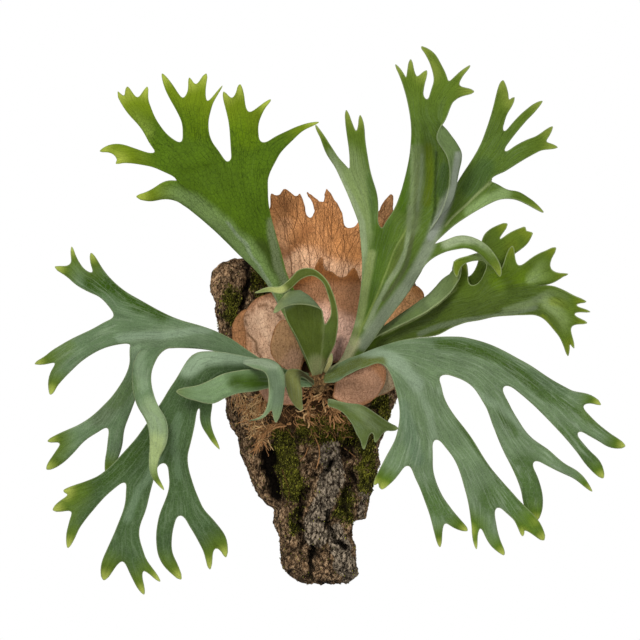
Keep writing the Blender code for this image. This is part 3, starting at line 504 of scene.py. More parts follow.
fanFour = ([(58, -91, 256, -61, 254), (59, -95, 272, -88, 276, -72, 260, -57, 264)],
    {0: [(60, -96, 285)], 1: [(60, -83, 284, -75, 276), (60, -79, 292)],
        2: [(58, -63, 268, -53, 271), (57, -49.5, 277)]})
fanRightHalf = ([(55, -89, 232, -61, 237, -52, 235, -41, 222)],
    {0: fanFour, 2: [(52, -33, 246, -28, 236), (50, -19, 252, -16, 247), (48, -1, 255)]})
fanSide = [[-154, 179, 34, -153, 197, 48], [-168, 176, 34, -166, 189, 42], [-175, 177, 35, -176, 184, 38],
    [-183, 181, 36]]
fan = ([(-2, -8, 3, -5, 5, -1, 6), [-16, 22, 0, -12, 24, 5, -4, 26, 3],
    [-28, 48, 4, -22, 50, 12, -12, 54, 10], [-42, 75, 8, -38, 77, 19, -24, 84, 17],
    [-56, 98, 12, -49, 94, 27, -32, 101, 24], [-85, 128, 20, -69, 129, 38, -39, 126, 33],
    [-109, 151, 26, -88, 152, 45, -45, 147, 40], [-131, 169, 31, -115, 177, 51, -51, 172, 46],
    [-141, 176, 33, -142, 196, 50, -144, 200, 54, -94, 216, 53, -88, 218, 53, -52, 197, 50]],
    {0: fanSide, 2: fanLeftHalf, 4: fanRightHalf})

# tall channelled frond, upper right
tallLeft = ([(44, 32, 172, 57, 182), (48, 16, 208, 30, 206, 51, 203)],
    {0: [(52, 6, 224, 19, 219), (55, 0, 240, 9, 234), (58, -4, 252)],
        1: ([(50, 29, 224, 47, 224), (52, 26, 246, 36, 243, 45, 238)],
            {0: [(53, 25, 256, 31, 257), (54, 26, 267)], 1: [(53, 38, 252, 44, 251), (54, 40, 262)]})})
tallTopLeft = ([(66, 82, 292, 86, 297, 96, 297, 104, 292)],
    {0: [(67, 78, 303, 83, 303), (68, 75, 312)], 1: [(68, 87, 308, 93, 308), (69, 90, 317)],
        2: [(68, 106, 306)]})
tallTopRight = ([(64, 113, 295, 127, 293, 136, 290, 138, 279)],
    {0: [(64, 109, 313, 120, 313), (64, 104, 323, 113, 324), (64, 101, 330)],
        1: [(64, 135, 301, 143, 302), (64, 149, 311)], 2: [(62, 144, 289, 144, 281), (62, 153, 285)]})
tallCentre = ([[75, 171, 44, 92, 172, 46, 107, 170, 38, 127, 170, 43, 121, 166, 54],
    [85, 201, 50, 94, 202, 53, 110, 200, 44, 138, 203, 50, 129, 198, 62],
    [90, 227, 55, 97, 229, 58, 109, 231, 50, 141, 222, 56, 126, 220, 68],
    [91, 245, 58, 98, 246, 61, 108, 247, 55, 128, 244, 60, 115, 240, 70],
    [90, 258, 61, 98, 262, 62, 106, 263, 60, 117, 261, 61, 125, 257, 64],
    (63, 86, 278, 102.5, 281, 108, 277, 131, 273)], {0: tallTopLeft, 2: tallTopRight})
tallMn = ([(32, 207, 238, 207, 220), (32, 215, 241, 223, 235, 220, 227)],
    {0: [(32, 232, 251)], 1: [(32, 237, 230)]})
tallUpper = ([(30, 160, 233, 186, 207), (30, 166, 249, 182, 249, 185, 246, 184, 229, 186, 225, 194, 212)],
    {0: ([(30, 172, 268, 187, 264), (30, 176, 285, 187.5, 276, 191, 270)],
        {0: [(30, 183, 297)], 1: [(30, 194, 280)]}),
        2: [(31, 196, 259, 196, 245), (31, 207, 269, 206, 257), (31, 222, 276)], 4: tallMn})
tallLower = [[186, 188, 26, 184.5, 179, 32], [198, 186, 27, 196, 178, 34], [207, 181, 28, 206, 174, 34],
    [223, 165.5, 32]]
tallRight = ([[124, 172, 26, 136, 165, 32, 132, 151, 40], [133, 188, 24, 152, 180, 29, 145, 160, 38],
    [141, 202, 25, 164, 191, 27, 158, 168, 36], [149, 214, 28, 171, 199, 28, 172, 195, 28, 173, 176, 34]],
    {0: tallUpper, 2: tallLower})
tallRibbon = [(44, 124, 137, 123, 125), (50, 139, 142, 135, 128), (55, 150, 141, 148, 129),
    [164, 134, 60, 157, 125, 56], [173, 124, 64, 166, 116, 58], [180, 110, 64, 174, 107, 60],
    (62, 179, 101)]
tall = ([(-1, 3, 8, 6, 7, 8, 5), (4, 17, 15, 23, 13, 28, 10), [28, 34, 11, 38, 31, 17, 47, 30, 13],
    [36, 60, 19, 50, 58, 26, 68, 59, 21], [40, 83, 25, 58, 83, 32, 84, 80, 24],
    [42, 110, 31, 71, 110, 38, 100, 105, 30],
    [39, 152, 38, 57.5, 154, 38, 62, 149, 38, 88, 150, 45, 110, 147, 42, 112, 139, 40, 113, 133, 40,
     105, 113, 36]],
    {0: tallLeft, (2, 4): tallCentre, (4, 6): tallRight, 6: tallRibbon})

# frond with a folded upper margin, right
foldBc = ([(30, 190, 146, 209, 137), (30, 197, 149, 206, 147, 211, 141)],
    {0: [(30, 204, 151)], 1: [(30, 212, 145)]})
foldBand = ([[141, 100, 18, 146, 88, 18], [149, 101, 19, 158, 90, 19], [155.7, 110.5, 22, 174, 97, 22],
    [158.5, 119, 25, 186, 107, 25], (30, 161, 138, 180, 112), (30, 165, 146, 176, 135, 203, 129)],
    {0: [(29, 176, 152, 181, 143), (29, 187, 154)], 1: foldBc})
foldEf = ([(42, 209, 119, 226, 93), (44, 217, 124.5, 225, 107, 235, 95)],
    {0: [(46, 225, 127, 230, 119), (48, 235, 130)], 1: [(46, 236, 104.5, 240, 100.5), (48, 247, 104)]})
foldGk = ([(44, 232, 92, 218, 62), (47, 243, 88, 252, 73, 248, 65, 248, 53, 237, 43)],
    {0: [(49, 253, 82, 257, 75), (50, 265, 76.5)], 1: [(49, 260, 70, 258, 66), (50, 269, 66)],
        2: [(48, 257, 60, 255, 54), (49, 266, 55)],
        3: ([(47, 251, 42, 248, 36, 242, 33)], {0: [(46, 253, 30)], 1: [(46, 247, 22)]})})
foldCurl = [[163, 118, 41, 175, 117, 42], [159, 117.5, 43, 168, 125, 44], [153.5, 117, 44, 158, 126.3, 45],
    [147, 115.5, 44, 147, 121.5, 45], [141.5, 113, 43, 138, 120, 44], [140, 109, 41, 131.5, 118, 42],
    [138.5, 106, 40, 132.5, 109, 40], [136, 101, 39]]
foldBlade = ([[161, 97, 33, 160, 77, 30, 159, 57.5, 28], [165, 108.5, 37, 168, 84, 33, 168, 60, 32],
    [166, 113, 39, 176, 109, 39, 180, 106.5, 38, 196, 108, 37, 216, 92, 37, 201, 63, 36]],
    {0: foldCurl, 2: [(38, 185, 122, 194, 122), (39, 191.5, 132)], 3: foldEf, 4: foldGk})
folded = ([(-5, 3, 1, 4, 3, 5, -2), [33, 23, 0, 33, 27, -5, 40, 17, -5], [57, 41, 8, 54, 44, -1, 64, 30, 0],
    [81, 53, 17, 84, 66, 6, 90, 39, 6], [110, 68, 25, 111, 86, 12, 118, 43, 12],
    [128, 83, 30, 122, 98, 17, 131, 50, 18],
    [139.5, 100, 34, 130.5, 106, 24, 141, 110, 22, 148, 98, 26, 153, 91, 28, 150, 72, 26, 147, 56, 24]],
    {0: [[141, 108, 36, 132, 112, 30], [137, 116, 34]], 1: foldBand,
        2: [[142, 114, 24, 147.5, 108, 27], [144.8, 117.5, 26]], (4, 6): foldBlade})

# large drooping frond, lower right
droopMl = ([(86, 58, -92, 59, -102, 76, -98)], {0: [(86, 53, -105)], 1: [(86, 62, -110)]})
droopKj = ([(88, 100, -111, 120, -114), (90, 109, -136, 123, -141, 131, -130)],
    {0: [(90, 114, -155, 121, -152), (90, 119, -167)], 1: [(91, 131, -147, 140, -141), (91, 146, -151)]})
droopLeft = ([(85, 64, -80, 83, -88, 91, -88, 112, -90)], {0: droopMl, 2: droopKj})
droopIh = ([(92, 150, -145, 159, -143, 176, -152)],
    {0: [(92, 151, -157, 156, -156), (92, 155, -169)], 1: [(93, 166, -161, 179, -162), (93, 182, -175)]})
droopG = ([(94, 192, -139, 202, -148, 214, -137)],
    {0: [(94, 200, -156)], 1: [(95, 213, -156, 221, -149), (95, 222, -160)]})
droopMid = ([(85, 133, -80, 166, -84), (90, 146, -118, 172, -131, 179, -128, 195, -118)],
    {0: droopIh, 2: droopG})
droopLow = ([(82, 79, -39, 124, -21), (84, 76, -56, 111, -63, 119, -61, 150, -58)],
    {0: droopLeft, 2: droopMid})
droopEd = (
    [(78, 172, -48, 194, -37), (80, 182, -72, 208, -57), (82, 191, -90, 210, -86, 216, -81, 226, -70)],
    {0: [(84, 199, -110, 218, -104), (85, 203, -128, 221, -124), (86, 214, -142)],
        2: [(84, 234, -91, 242, -84), (86, 253, -100, 257, -93), (88, 270, -112)]})
droopCba = ([(72, 208, -23, 230, -1), (74, 236, -51, 255, -57, 259, -52, 258, -27, 252, -13)],
    {0: [(76, 254, -72, 267, -71), (78, 268, -90, 279, -84), (80, 281, -99)],
        2: [(75, 276, -62, 276, -45), (76, 289, -69, 290, -56), (77, 303, -67)],
        3: [(72, 268, -24, 270, -16), (72, 279, -26)]})
droopHigh = ([(74, 150, -7, 166, 35), (74, 164, -27, 180, -12, 187, -6, 206, 15)],
    {0: droopEd, 2: droopCba})
droop = ([(4, 2, -5, 4, 2), [15, -4, 16, 15, 12, 12], [27, 3, 36, 27, 19, 28], [45, 11, 60, 40, 23.5, 44],
    [64, 14, 78, 54, 29, 56], [70, 4, 82, 74, 36, 62], [76, -14, 82, 118, -1, 76, 125, 5, 75, 134, 42, 62]],
    {0: droopLow, 2: droopHigh})

# spreading frond, left
spreadBc = ([(40, -234, 108, -243, 93), (40, -240, 116, -246, 111, -252, 101)],
    {0: [(41, -244, 124, -248, 120), (41, -247.5, 131)], 1: [(41, -255, 111, -258, 105), (41, -264, 111)]})
spreadTop = ([(38, -202, 93, -218, 80), (39, -212, 103, -224, 103, -231, 86)],
    {0: [(40, -219, 113, -228, 112), (41, -228, 125)], 1: spreadBc})
spreadMid = ([(37, -227, 49, -215, 30), (38, -248, 39, -236, 18), (39, -267, 28, -261, 17, -252, 3)],
    {0: [(40, -275, 21, -268, 15), (40, -284, 14)], 1: [(40, -270, 2, -262, -8), (40, -269, -16)]})
spreadFg = ([(17, -240, -46, -234, -62), (16, -251, -51, -257, -64.5, -247, -76)],
    {0: [(15, -264, -57, -263, -64), (15, -272, -63)], 1: [(15, -267, -78, -260, -87), (15, -273, -91)]})
spreadBack = ([(26, -190, 14, -176, 12), (20, -206, -16, -182, -14),
    (18, -222, -33, -216, -50, -210, -51, -195, -50)],
    {0: spreadFg, 2: [(16, -213, -72, -198, -70), (15, -215, -88, -204, -86), (14, -211, -102)]})
spreadDroop = [[-184, 19, 42, -165, 14, 48], [-187, 0, 52, -168, 0, 58], [-183, -24, 62, -163, -22, 66],
    [-171, -47, 68, -151, -46, 70], [-169, -62, 70, -152, -64, 70], [-170, -80, 70, -160, -80, 68],
    [-169, -94, 68, -162, -93, 68], (68, -155, -111)]
spread = ([(-6, -8, 4, -8, -2), (0, -22, 7, -22, -4), (4, -36, 9, -36, -5), (8, -52, 15, -54, 2),
    (12, -68, 25, -72, 12), (18, -90, 40, -92, 23), (24, -112, 50, -112, 28), (30, -142, 59, -138, 30),
    (34, -190, 84, -206, 66, -208, 59, -192, 35, -189, 32, -176, 30, -152, 30)],
    {0: spreadTop, 2: spreadMid, 4: spreadBack, 5: spreadDroop})

# drooping frond, lower left
lowAbc = ([(47, -219, -96, -213, -117), (46, -237, -104, -248, -115, -245, -131, -228, -134)],
    {0: [(45, -255, -111)], 1: [(45, -256, -120, -253, -132), (45, -266, -131)],
        2: [(45, -251, -148, -240, -150), (45, -251, -169)]})
lowDef = ([(50, -194, -125, -173, -130), (50, -203, -150, -180, -152),
    (50, -212, -170, -195, -178, -176, -190, -174, -178)],
    {0: [(50, -218, -187, -204, -188), (50, -215, -201)],
        1: [(50, -185, -202, -177, -198), (50, -175, -215)],
        2: [(50, -168, -196, -166, -190), (50, -159, -202)]})
lowLeft = ([(50, -203, -82, -198, -104, -192, -105, -168, -110)], {0: lowAbc, 2: lowDef})
lowHi = ([(48, -124, -157, -105, -142), (47, -116, -172, -106, -165, -93, -157)],
    {0: [(47, -113, -183, -107, -176), (47, -109, -190)],
        1: [(47, -99, -170, -92, -165), (47, -93.5, -178)]})
lowRight = ([(50, -150, -107, -126, -106), (50, -160, -136, -143, -137, -134, -139, -117, -128)],
    {0: [(50, -163, -158, -147, -155), (50, -159, -181, -147, -173), (50, -148, -194, -141, -187),
        (50, -138, -200)], 2: lowHi})
lowMain = ([(52, -160, -27, -125, -48), (52, -181, -57, -161, -86, -151, -86, -132, -78)],
    {0: lowLeft, 2: lowRight})
low = ([(1, -9, 1, -9, -5), (6, -24, 5, -24, -6), (13, -42, 12, -42, -2), (21, -60, 18.5, -60, 4),
    (29, -80, 23, -80, 6), (37, -101, 26.5, -100, 2), (44, -122, 26, -108, -6),
    [-147, -6, 51, -122, -31, 50, -119, -30, 50, -107, -24, 46]],
    {0: lowMain, 2: [(45, -119, -45, -109, -42), (43, -112, -57, -106, -55), (42, -100, -71)]})

# short frond with a strap lobe and a hanging ribbon, left
strapRibbon = ([[-64, 15, 34, -62, 12, 38], [-76, 18, 42, -76, 14, 48], [-62, 20, 48, -62, 9, 60],
    [-50, 20, 54, -54, 7, 65], [-40, 16, 58, -52, 1, 67], [-35, 0, 60, -51, -8, 67],
    [-36, -16, 58, -51, -20, 65], [-37, -27, 57, -47, -27, 61, -53, -31, 64]],
    {0: [(57, -44, -44)], 1: [(64, -55, -39, -59, -38), (66, -70, -42)]})
strapLeaf = [(44, -66, 9, -66, -13), (50, -83, 7.5, -82, -15), (56, -98, 4, -96, -20),
    (62, -110, -2, -108, -26), (66, -124, -8, -123, -22), (70, -143, -13)]
strap = ([(4, -8, -4, -8, -9), (12, -22, -1, -22, -9), (22, -36, 4, -36, -9),
    [-50, 10, 32, -50, 7, 34, -50, 6, 34, -51, -10, 33]], {0: strapRibbon, 2: strapLeaf})

# young centre frond
youngFlap = [[-34, 61, 52, -15, 66, 50, 3.5, 60, 54], [-36, 69, 56, -9, 79, 60, 0, 69, 68],
    [-38, 75, 60, -20, 87, 66, -14, 73, 75], [-39, 78, 66, -31, 86, 71, -27, 73, 77],
    [-42, 74, 72, -39, 75, 74, -37, 70, 77], [-46, 65, 77]]
youngRibbon = [(56, 11, 64, 18, 62), (60, 8, 82, 14, 82), (63, 1, 97, 4, 101), (65, -8, 102, -9, 109.5),
    (66, -18, 99, -20, 108.5), (67, -28, 90, -31, 98), [-38, 84, 70, -41, 91, 70], (71, -50, 86, -49, 91),
    (72, -65, 85)]
young = ([(3, -7, 1, 1, 3), (16, -13, 18, 8, 20), (31, -22, 38, 15, 35),
    (46, -31, 54, 4.5, 54, 6.5, 55, 18, 50)], {0: youngFlap, 2: youngRibbon})

# small fronds round the crown
bud = [(1, 3, 6, 6, 4), (15, 5.5, 11.5, 9, 9), (25, 8.5, 19, 12.5, 16.5), (28, 12, 25)]
lowLeaf = [(8, -6, -2, -6, -8), (20, -23, 9, -19, 1), (28, -34, 8, -20, -4), (31, -34, -8, -18, -13),
    (31, -29, -22, -18, -24), (30, -19, -32)]
small = ([(3, 8, -20, 8, -28), (12, 27, -25, 21, -33), (20, 42, -27, 31, -44),
    (26, 60, -38, 65, -51, 51.5, -51, 37, -57)],
    {0: [(28, 70, -45, 70, -53), (29, 78, -50)], 1: [(28, 61, -57, 54, -56), (29, 55, -64)],
        2: [(28, 48, -59, 41, -63), (29, 44, -71)]})

print("frond shapes ready")


# green frond: streaks and dark veins follow its grain, felt and a pale margin lie over them
def frondFinish(name, look):
    m = Finish(name + "Green")
    place = m.place()
    flow = m.painted("flow", "Vector")
    toTip = m.painted("toTip")
    patch = m.cloud(place, 34.0)
    streak = m.cloud(m.stretch(flow, 0.9, 0.03, 1.0), 1.0, 4.0, 0.65, 0.3)
    fine = m.cloud(m.stretch(flow, 3.0, 0.1, 1.0), 1.0, 3.0, 0.65)
    felt = m.cloud(place, 820.0, 3.0, 0.7)
    wander = m.cloud(m.stretch(flow, 0.55, 0.02, 1.0), 1.0, 2.0, 0.5, 0.6)
    vein = m.ease((wander - 0.5).size(), 0.0, 0.012, 1.0, 0.0)
    net = m.net(m.shift(place, look["seed"], 0.0, 0.0), 240.0, 0.02, 0.09)
    color = m.painted("tint", "Color")
    color = m.blend(m.ease(streak, 0.46, 0.68) * look["streak"], color, look["streakColor"])
    color = m.blend((vein * 0.7 + net * 0.5) * look["vein"], color, look["veinColor"])
    color = m.blend(m.ease(toTip, look["tipFade"] * 1.9, look["tipFade"] * 0.5), color, look["tipGreen"])
    color = m.blend(m.ease(toTip, look["tipFade"] * 0.8, 1.0), color, look["tipColor"])
    color = m.blend(m.ease(m.painted("rim"), 1.3, 0.3) * look["margin"], color, look["marginColor"])
    color = m.blend(m.painted("under") * look["underShow"], color, look["underColor"])
    tone = look["light"]
    for cover, low, high, part in ((felt, 0.3, 0.7, look["felt"]), (patch, 0.34, 0.66, look["patch"]),
                                   (fine, 0.3, 0.7, look["grain"])):
        tone = tone * m.ease(cover, low, high, 1.0 - part, 1.0 + part)
    height = felt * 0.35 + fine * 0.5 - vein * 0.6 - net * 0.25
    return m.done(m.dim(color, tone), m.ease(felt, 0.2, 0.8, look["rough"], look["rough"] + 0.15),
                  height, 0.00035)


plainFrond = {
    "columns": 4, "pitch": 0.0034, "bow": 0.05, "thick": 0.0011, "swell": 0.0012, "ripple": 0.00035,
    "fray": 0.0, "stray": 2.5, "light": 0.53, "coats": [], "streak": 0.25, "streakColor": (260, 330, 220),
    "vein": 0.1, "veinColor": (50, 90, 20), "tipFade": 18, "tipColor": (250, 310, 60),
    "tipGreen": (110, 175, 16), "margin": 0.45, "marginColor": (340, 400, 200),
    "underShow": 0.3, "underColor": (240, 300, 190), "felt": 0.12, "patch": 0.1, "grain": 0.07, "rough": 0.5}


def frond(name, lobe, node, changes):
    return growBlade(name, lobe, node, {**plainFrond, **changes}, frondFinish)


frond("fanFrond", fan, "frond_fan", {"seed": 1, "base": (88, 163, 7), "streak": 0.1,
    "streakColor": (170, 250, 50), "vein": 0.8, "veinColor": (35, 70, 6), "tipGreen": (170, 245, 8),
    "tipFade": 24, "tipColor": (420, 500, 70), "marginColor": (250, 330, 80), "coats": [
    ((50, 80, 10), 11, 0.95, (-8, 16, -30, 66, -50, 100, -60, 128)),
    ((140, 235, 4), 13, 0.7, (-80, 262, -72, 240), (-125, 268, -122, 250)),
    ((120, 190, 30), 9, 0.6, (-205, 228, -180, 222)), ((260, 370, 50), 12, 0.8, (-195, 265, -178, 245)),
    ((60, 100, 10), 6, 0.6, (-30, 246, -8, 254)),
    ((210, 255, 125), 4.5, 0.85, (-14, 24, -26, 60, -38, 100, -45, 124, -49, 156)),
    # the thin pale (351, 429, 286) line along the fold, after this pale band, is a painted highlight
    ((225, 340, 100), 9, 0.95, (-178, 181, -160, 182, -142, 182, -120, 170, -97, 152, -76, 132, -58, 106,
        -46, 84, -30, 52)), ((351, 429, 286), 1.6, 0.6, (-92, 155, -73, 134, -60, 110, -50, 92, -40, 72)),
    ((290, 390, 110), 7, 0.8, (-190, 176, -170, 183)),
    ((90, 160, 20), 2.5, 0.6, (-150, 176, -131, 169, -109, 151, -85, 128))]})
frond("tallFrond", tall, "frond_tall", {"seed": 2, "bow": 0.04, "base": (105, 175, 22),
    "stray": 0.5, "columns": 6, "pitch": 0.0026, "streak": 0.15, "vein": 0.2, "tipFade": 26,
    "tipColor": (260, 330, 50), "margin": 0.5, "coats": [
    ((247, 332, 117), 14, 0.9, (44, 120, 43, 150, 36, 190, 26, 220)),
    ((90, 160, 30), 4, 0.8, (55, 150, 52, 175, 50, 200)),
    ((325, 403, 208), 3.5, 0.9, (36, 54, 42, 87, 45, 121, 43, 141, 41, 155, 33, 175, 22, 195, 10, 225)),
    ((75, 140, 12), 9, 0.95, (64, 152, 60, 135, 54, 112, 48, 88, 42, 66)),
    ((70, 140, 8), 6, 0.9, (84, 170, 86, 200, 88, 235)),
    ((120, 165, 30), 3, 0.8, (84, 140, 77, 121, 70, 103)),
    ((286, 351, 182), 2.5, 0.9, (90, 170, 89, 150, 86, 128, 77, 109, 67.6, 94, 56.9, 74, 46, 50)),
    ((95, 120, 40), 2.2, 0.9, (96, 215, 96, 161, 90.4, 133, 85, 112, 74.3, 93, 63.6, 79.4)),
    ((273, 325, 208), 6, 0.95, (127, 181, 120, 161, 109, 133, 96, 108, 85, 90, 70, 71, 57, 54, 43, 34)),
    ((520, 500, 270), 6, 0.9, (14, 12, 24, 20, 34, 36)),
    ((420, 490, 190), 4, 0.5, (33, 36, 39, 56, 43, 74, 47, 100, 52, 124)),
    ((330, 400, 110), 0.9, 0.45, (86.3, 149.7, 74.3, 127.6, 67.6, 108.9, 60.9, 92.8, 52.9, 74, 43.5, 54,
        36.8, 38)), ((165, 215, 85), 7, 0.7, (98, 226, 97, 190, 92, 150)),
    ((260, 338, 150), 1.6, 0.5, (91, 232, 92, 215, 92, 160)),
    ((260, 325, 195), 1.4, 0.35, (101, 222, 100, 200, 97, 168)),
    ((130, 190, 10), 4, 0.9, (108, 230, 109, 200, 106, 175)),
    ((40, 70, 10), 1.5, 0.9, (115.8, 225, 114.5, 168, 111.8, 154)),
    ((70, 130, 30), 5, 0.8, (124, 210, 121, 185)),
    ((351, 390, 312), 3.5, 0.95, (137, 222, 134.5, 208, 133, 192, 126.5, 173, 117, 154, 110, 140)),
    ((75, 140, 30), 10, 0.8, (150, 190, 164, 210)),
    ((325, 390, 156), 1.2, 0.8, (125, 152, 138.6, 166.5, 154.6, 181, 170.7, 196)),
    ((280, 400, 140), 6, 0.9, (150, 166, 165, 176, 185, 184)),
    ((377, 459, 247), 5, 0.95, (126, 134, 141, 140, 158, 138, 170, 128, 177, 112))]})
frond("foldedFrond", folded, "frond_folded", {"seed": 3, "bow": 0.03, "base": (88, 135, 18),
    "stray": 1, "streak": 0.12, "vein": 0.25, "tipFade": 20, "tipColor": (200, 260, 20), "margin": 0.8,
    "marginColor": (350, 420, 180), "coats": [
    ((221, 312, 91), 6, 0.9, (131, 100, 124, 88, 112, 76)),
    ((110, 180, 12), 5, 0.9, (98, 64, 84, 56, 66, 45, 50, 34)),
    ((75, 105, 20), 4, 0.7, (125, 74, 104, 56, 80, 44, 60, 34)),
    ((120, 200, 6), 10, 0.8, (178, 98, 200, 102, 222, 98)),
    ((85, 135, 18), 8, 0.8, (190, 84, 212, 84, 226, 90)),
    ((190, 240, 130), 2.6, 0.8, (100, 44, 120, 52, 142, 57, 165, 60, 185, 64, 205, 68, 215, 70)),
    ((200, 260, 110), 4, 0.8, (185, 67, 212, 75, 228, 84, 238, 86, 245, 82, 250, 74)),
    ((250, 330, 120), 6, 0.8, (226, 75, 238, 66, 246, 55, 249, 42)),
    ((286, 364, 156), 3.5, 0.9, (246, 58, 262, 55)), ((215, 275, 40), 4, 0.8, (232, 76, 242, 74, 250, 70)),
    ((250, 345, 110), 5, 0.75, (211, 101, 221, 112, 231, 125)),
    ((250, 345, 110), 3.5, 0.75, (209, 97, 224, 102, 243, 104)),
    ((140, 190, 10), 2, 0.9, (222, 62, 232, 50, 240, 35, 246, 26)),
    ((340, 430, 190), 5, 0.95, (132, 118, 143, 119, 154, 121, 166, 119)),
    ((208, 286, 52), 4, 0.8, (135, 108, 136, 102)),
    ((429, 520, 182), 1.1, 1, (139.9, 101, 135, 88, 130.5, 84.8, 117, 72.7, 103.8, 63.4, 90.4, 56.7, 74.3,
        48.6, 60.9, 42))]})
frond("droopFrond", droop, "frond_droop_right", {"seed": 4, "base": (150, 225, 105),
    "streak": 0.5, "streakColor": (300, 380, 250), "vein": 0.22, "veinColor": (320, 400, 270),
    "tipFade": 15, "tipColor": (420, 480, 90), "tipGreen": (95, 170, 10), "coats": [
    ((320, 420, 280), 7, 0.7, (46, 26, 66, 22, 84, 10, 96, -6)),
    ((90, 150, 60), 6, 0.7, (90, 46, 120, 40, 160, 32, 200, 6, 240, -14)),
    ((55, 110, 12), 5, 0.95, (120, 34, 150, 30, 176, 20, 200, 4, 214, -8)),
    ((60, 115, 20), 5, 0.9, (140, -40, 160, -72, 182, -102, 204, -122)),
    ((60, 115, 20), 4, 0.8, (178, -30, 192, -56)), ((60, 115, 20), 5, 0.85, (220, -14, 250, -30, 284, -50)),
    ((310, 410, 265), 4, 0.45, (96, -4, 110, -40, 116, -80), (120, -10, 150, -10, 186, -34, 214, -60)),
    ((125, 194, 110), 7, 0.7, (82, -28, 88, -52, 96, -80)),
    ((70, 135, 24), 14, 0.8, (110, -120, 128, -128), (170, -120, 190, -130), (200, -90, 212, -112),
        (240, -60, 262, -76)), ((115, 145, 20), 5, 0.95, (0, -2, 14, 4, 30, 12, 46, 16.5, 60, 16))]})
frond("spreadFrond", spread, "frond_spread_left", {"seed": 5, "bow": 0.04,
    "base": (135, 212, 98), "streak": 0.4, "streakColor": (290, 370, 230), "vein": 0.25,
    "veinColor": (300, 380, 250), "tipFade": 18, "tipColor": (420, 500, 90), "coats": [
    ((165, 240, 125), 9, 0.8, (-120, 44, -150, 44, -180, 40)),
    ((250, 350, 200), 6, 0.8, (-182, 26, -176, -8)),
    ((35, 85, 0), 10, 0.95, (-156, 66, -180, 76, -204, 92, -226, 96)),
    ((70, 130, 40), 4, 0.8, (-80, 50, -110, 58, -145, 68)), ((100, 160, 60), 7, 0.7, (-60, 36, -90, 44)),
    ((150, 230, 50), 10, 0.6, (-255, 32, -270, 20)), ((120, 165, 80), 9, 0.7, (-205, -20, -222, -40)),
    ((100, 165, 50), 9, 0.7, (-188, -8, -205, -22)), ((200, 290, 150), 4, 0.5, (-230, -45, -250, -52)),
    ((312, 416, 273), 4, 0.6, (-110, 48, -150, 44, -200, 40)),
    ((300, 400, 200), 12, 0.8, (-166, -30, -162, -56)),
    ((420, 520, 210), 12, 0.9, (-162, -66, -158, -96))]})
frond("lowFrond", low, "frond_droop_left", {"seed": 6, "base": (66, 118, 38), "streak": 0.35,
    "streakColor": (220, 300, 170), "vein": 0.3, "veinColor": (240, 330, 190), "tipFade": 20,
    "tipColor": (420, 480, 90), "coats": [
    ((320, 430, 270), 8, 0.95, (-66, 20, -90, 22, -117, 20, -133, 8)),
    ((50, 100, 16), 9, 0.9, (-185, -75, -210, -95, -232, -108)),
    ((50, 100, 16), 6, 0.8, (-160, -45, -178, -68)),
    ((150, 230, 120), 4, 0.5, (-140, -36, -146, -70, -140, -96)),
    ((180, 265, 150), 4, 0.6, (-160, -80, -180, -110, -190, -140)),
    ((60, 110, 20), 5, 0.8, (-118, -110, -104, -140))]})
frond("strapFrond", strap, "frond_strap", {"seed": 7, "base": (215, 325, 150), "tipFade": 12,
    "tipColor": (200, 270, 100), "tipGreen": (180, 270, 110), "margin": 0.8, "coats": [
    # painted shade: the right part of the strap leaf darkened as if in shadow
    ((50, 100, 5), 8, 0.95, (-50, -2, -66, -4, -84, -4)),
    ((377, 468, 305), 4, 0.9, (-110, 20, -85, 18, -62, 16, -46, 12)),
    ((120, 185, 105), 6, 0.8, (-46, 4, -42, -10, -42, -30))]})
frond("youngFrond", young, "frond_young", {"seed": 8, "base": (100, 138, 20), "pitch": 0.002,
    "columns": 9, "stray": 0.4, "streak": 0.15, "streakColor": (180, 230, 80), "vein": 0.2, "margin": 0.9,
    "marginColor": (330, 380, 160), "tipFade": 12, "tipColor": (380, 430, 140), "tipGreen": (200, 250, 70),
    "coats": [
    ((170, 140, 45), 8, 0.9, (0, 0, 0, 12)), ((110, 160, 30), 5, 0.8, (10, 56, 9, 40, 7, 26)),
    ((290, 320, 140), 8, 0.7, (-2, 2, -4, 16)),
    ((250, 300, 110), 0.9, 0.5, (5, 62, 4, 50, 3, 36, 1, 18, -1, 8)),
    ((130, 180, 80), 5, 0.8, (-36, 72, -18, 82, -4, 76)),
    ((100, 130, 22), 6, 0.8, (12, 64, 6, 90, -12, 105, -28, 92)),
    ((501, 542, 191), 7, 0.95, (-40, 86, -50, 88, -65, 85)),
    ((501, 542, 191), 4, 0.8, (-42, 72, -46, 65))]})
frond("budFrond", bud, "frond_bud", {"seed": 9, "bow": 0.1, "base": (420, 380, 150),
    "pitch": 0.002, "tipFade": 4, "tipColor": (300, 320, 140), "tipGreen": (300, 310, 110), "swell": 0,
    "ripple": 0})
frond("leafFrond", lowLeaf, "frond_low_leaf", {"seed": 10, "bow": 0.08,
    "base": (200, 215, 65), "columns": 8, "pitch": 0.0025, "tipFade": 6, "tipColor": (220, 240, 80),
    "tipGreen": (210, 225, 70), "swell": 0.0006, "coats": [
    # painted shadow: dark brown at the end by the crown hides the stalk as if in shade
    ((50, 42, 15), 7, 1, (-15, 6, -8, -4))]})
frond("smallFrond", small, "frond_small", {"seed": 11, "base": (120, 165, 42),
    "pitch": 0.0026, "tipFade": 9, "tipColor": (220, 280, 90), "tipGreen": (130, 180, 50), "margin": 0.6,
    "coats": [
    ((250, 310, 150), 4, 0.5, (10, -20, 24, -24, 40, -34, 56, -52))]})
print("fronds built")

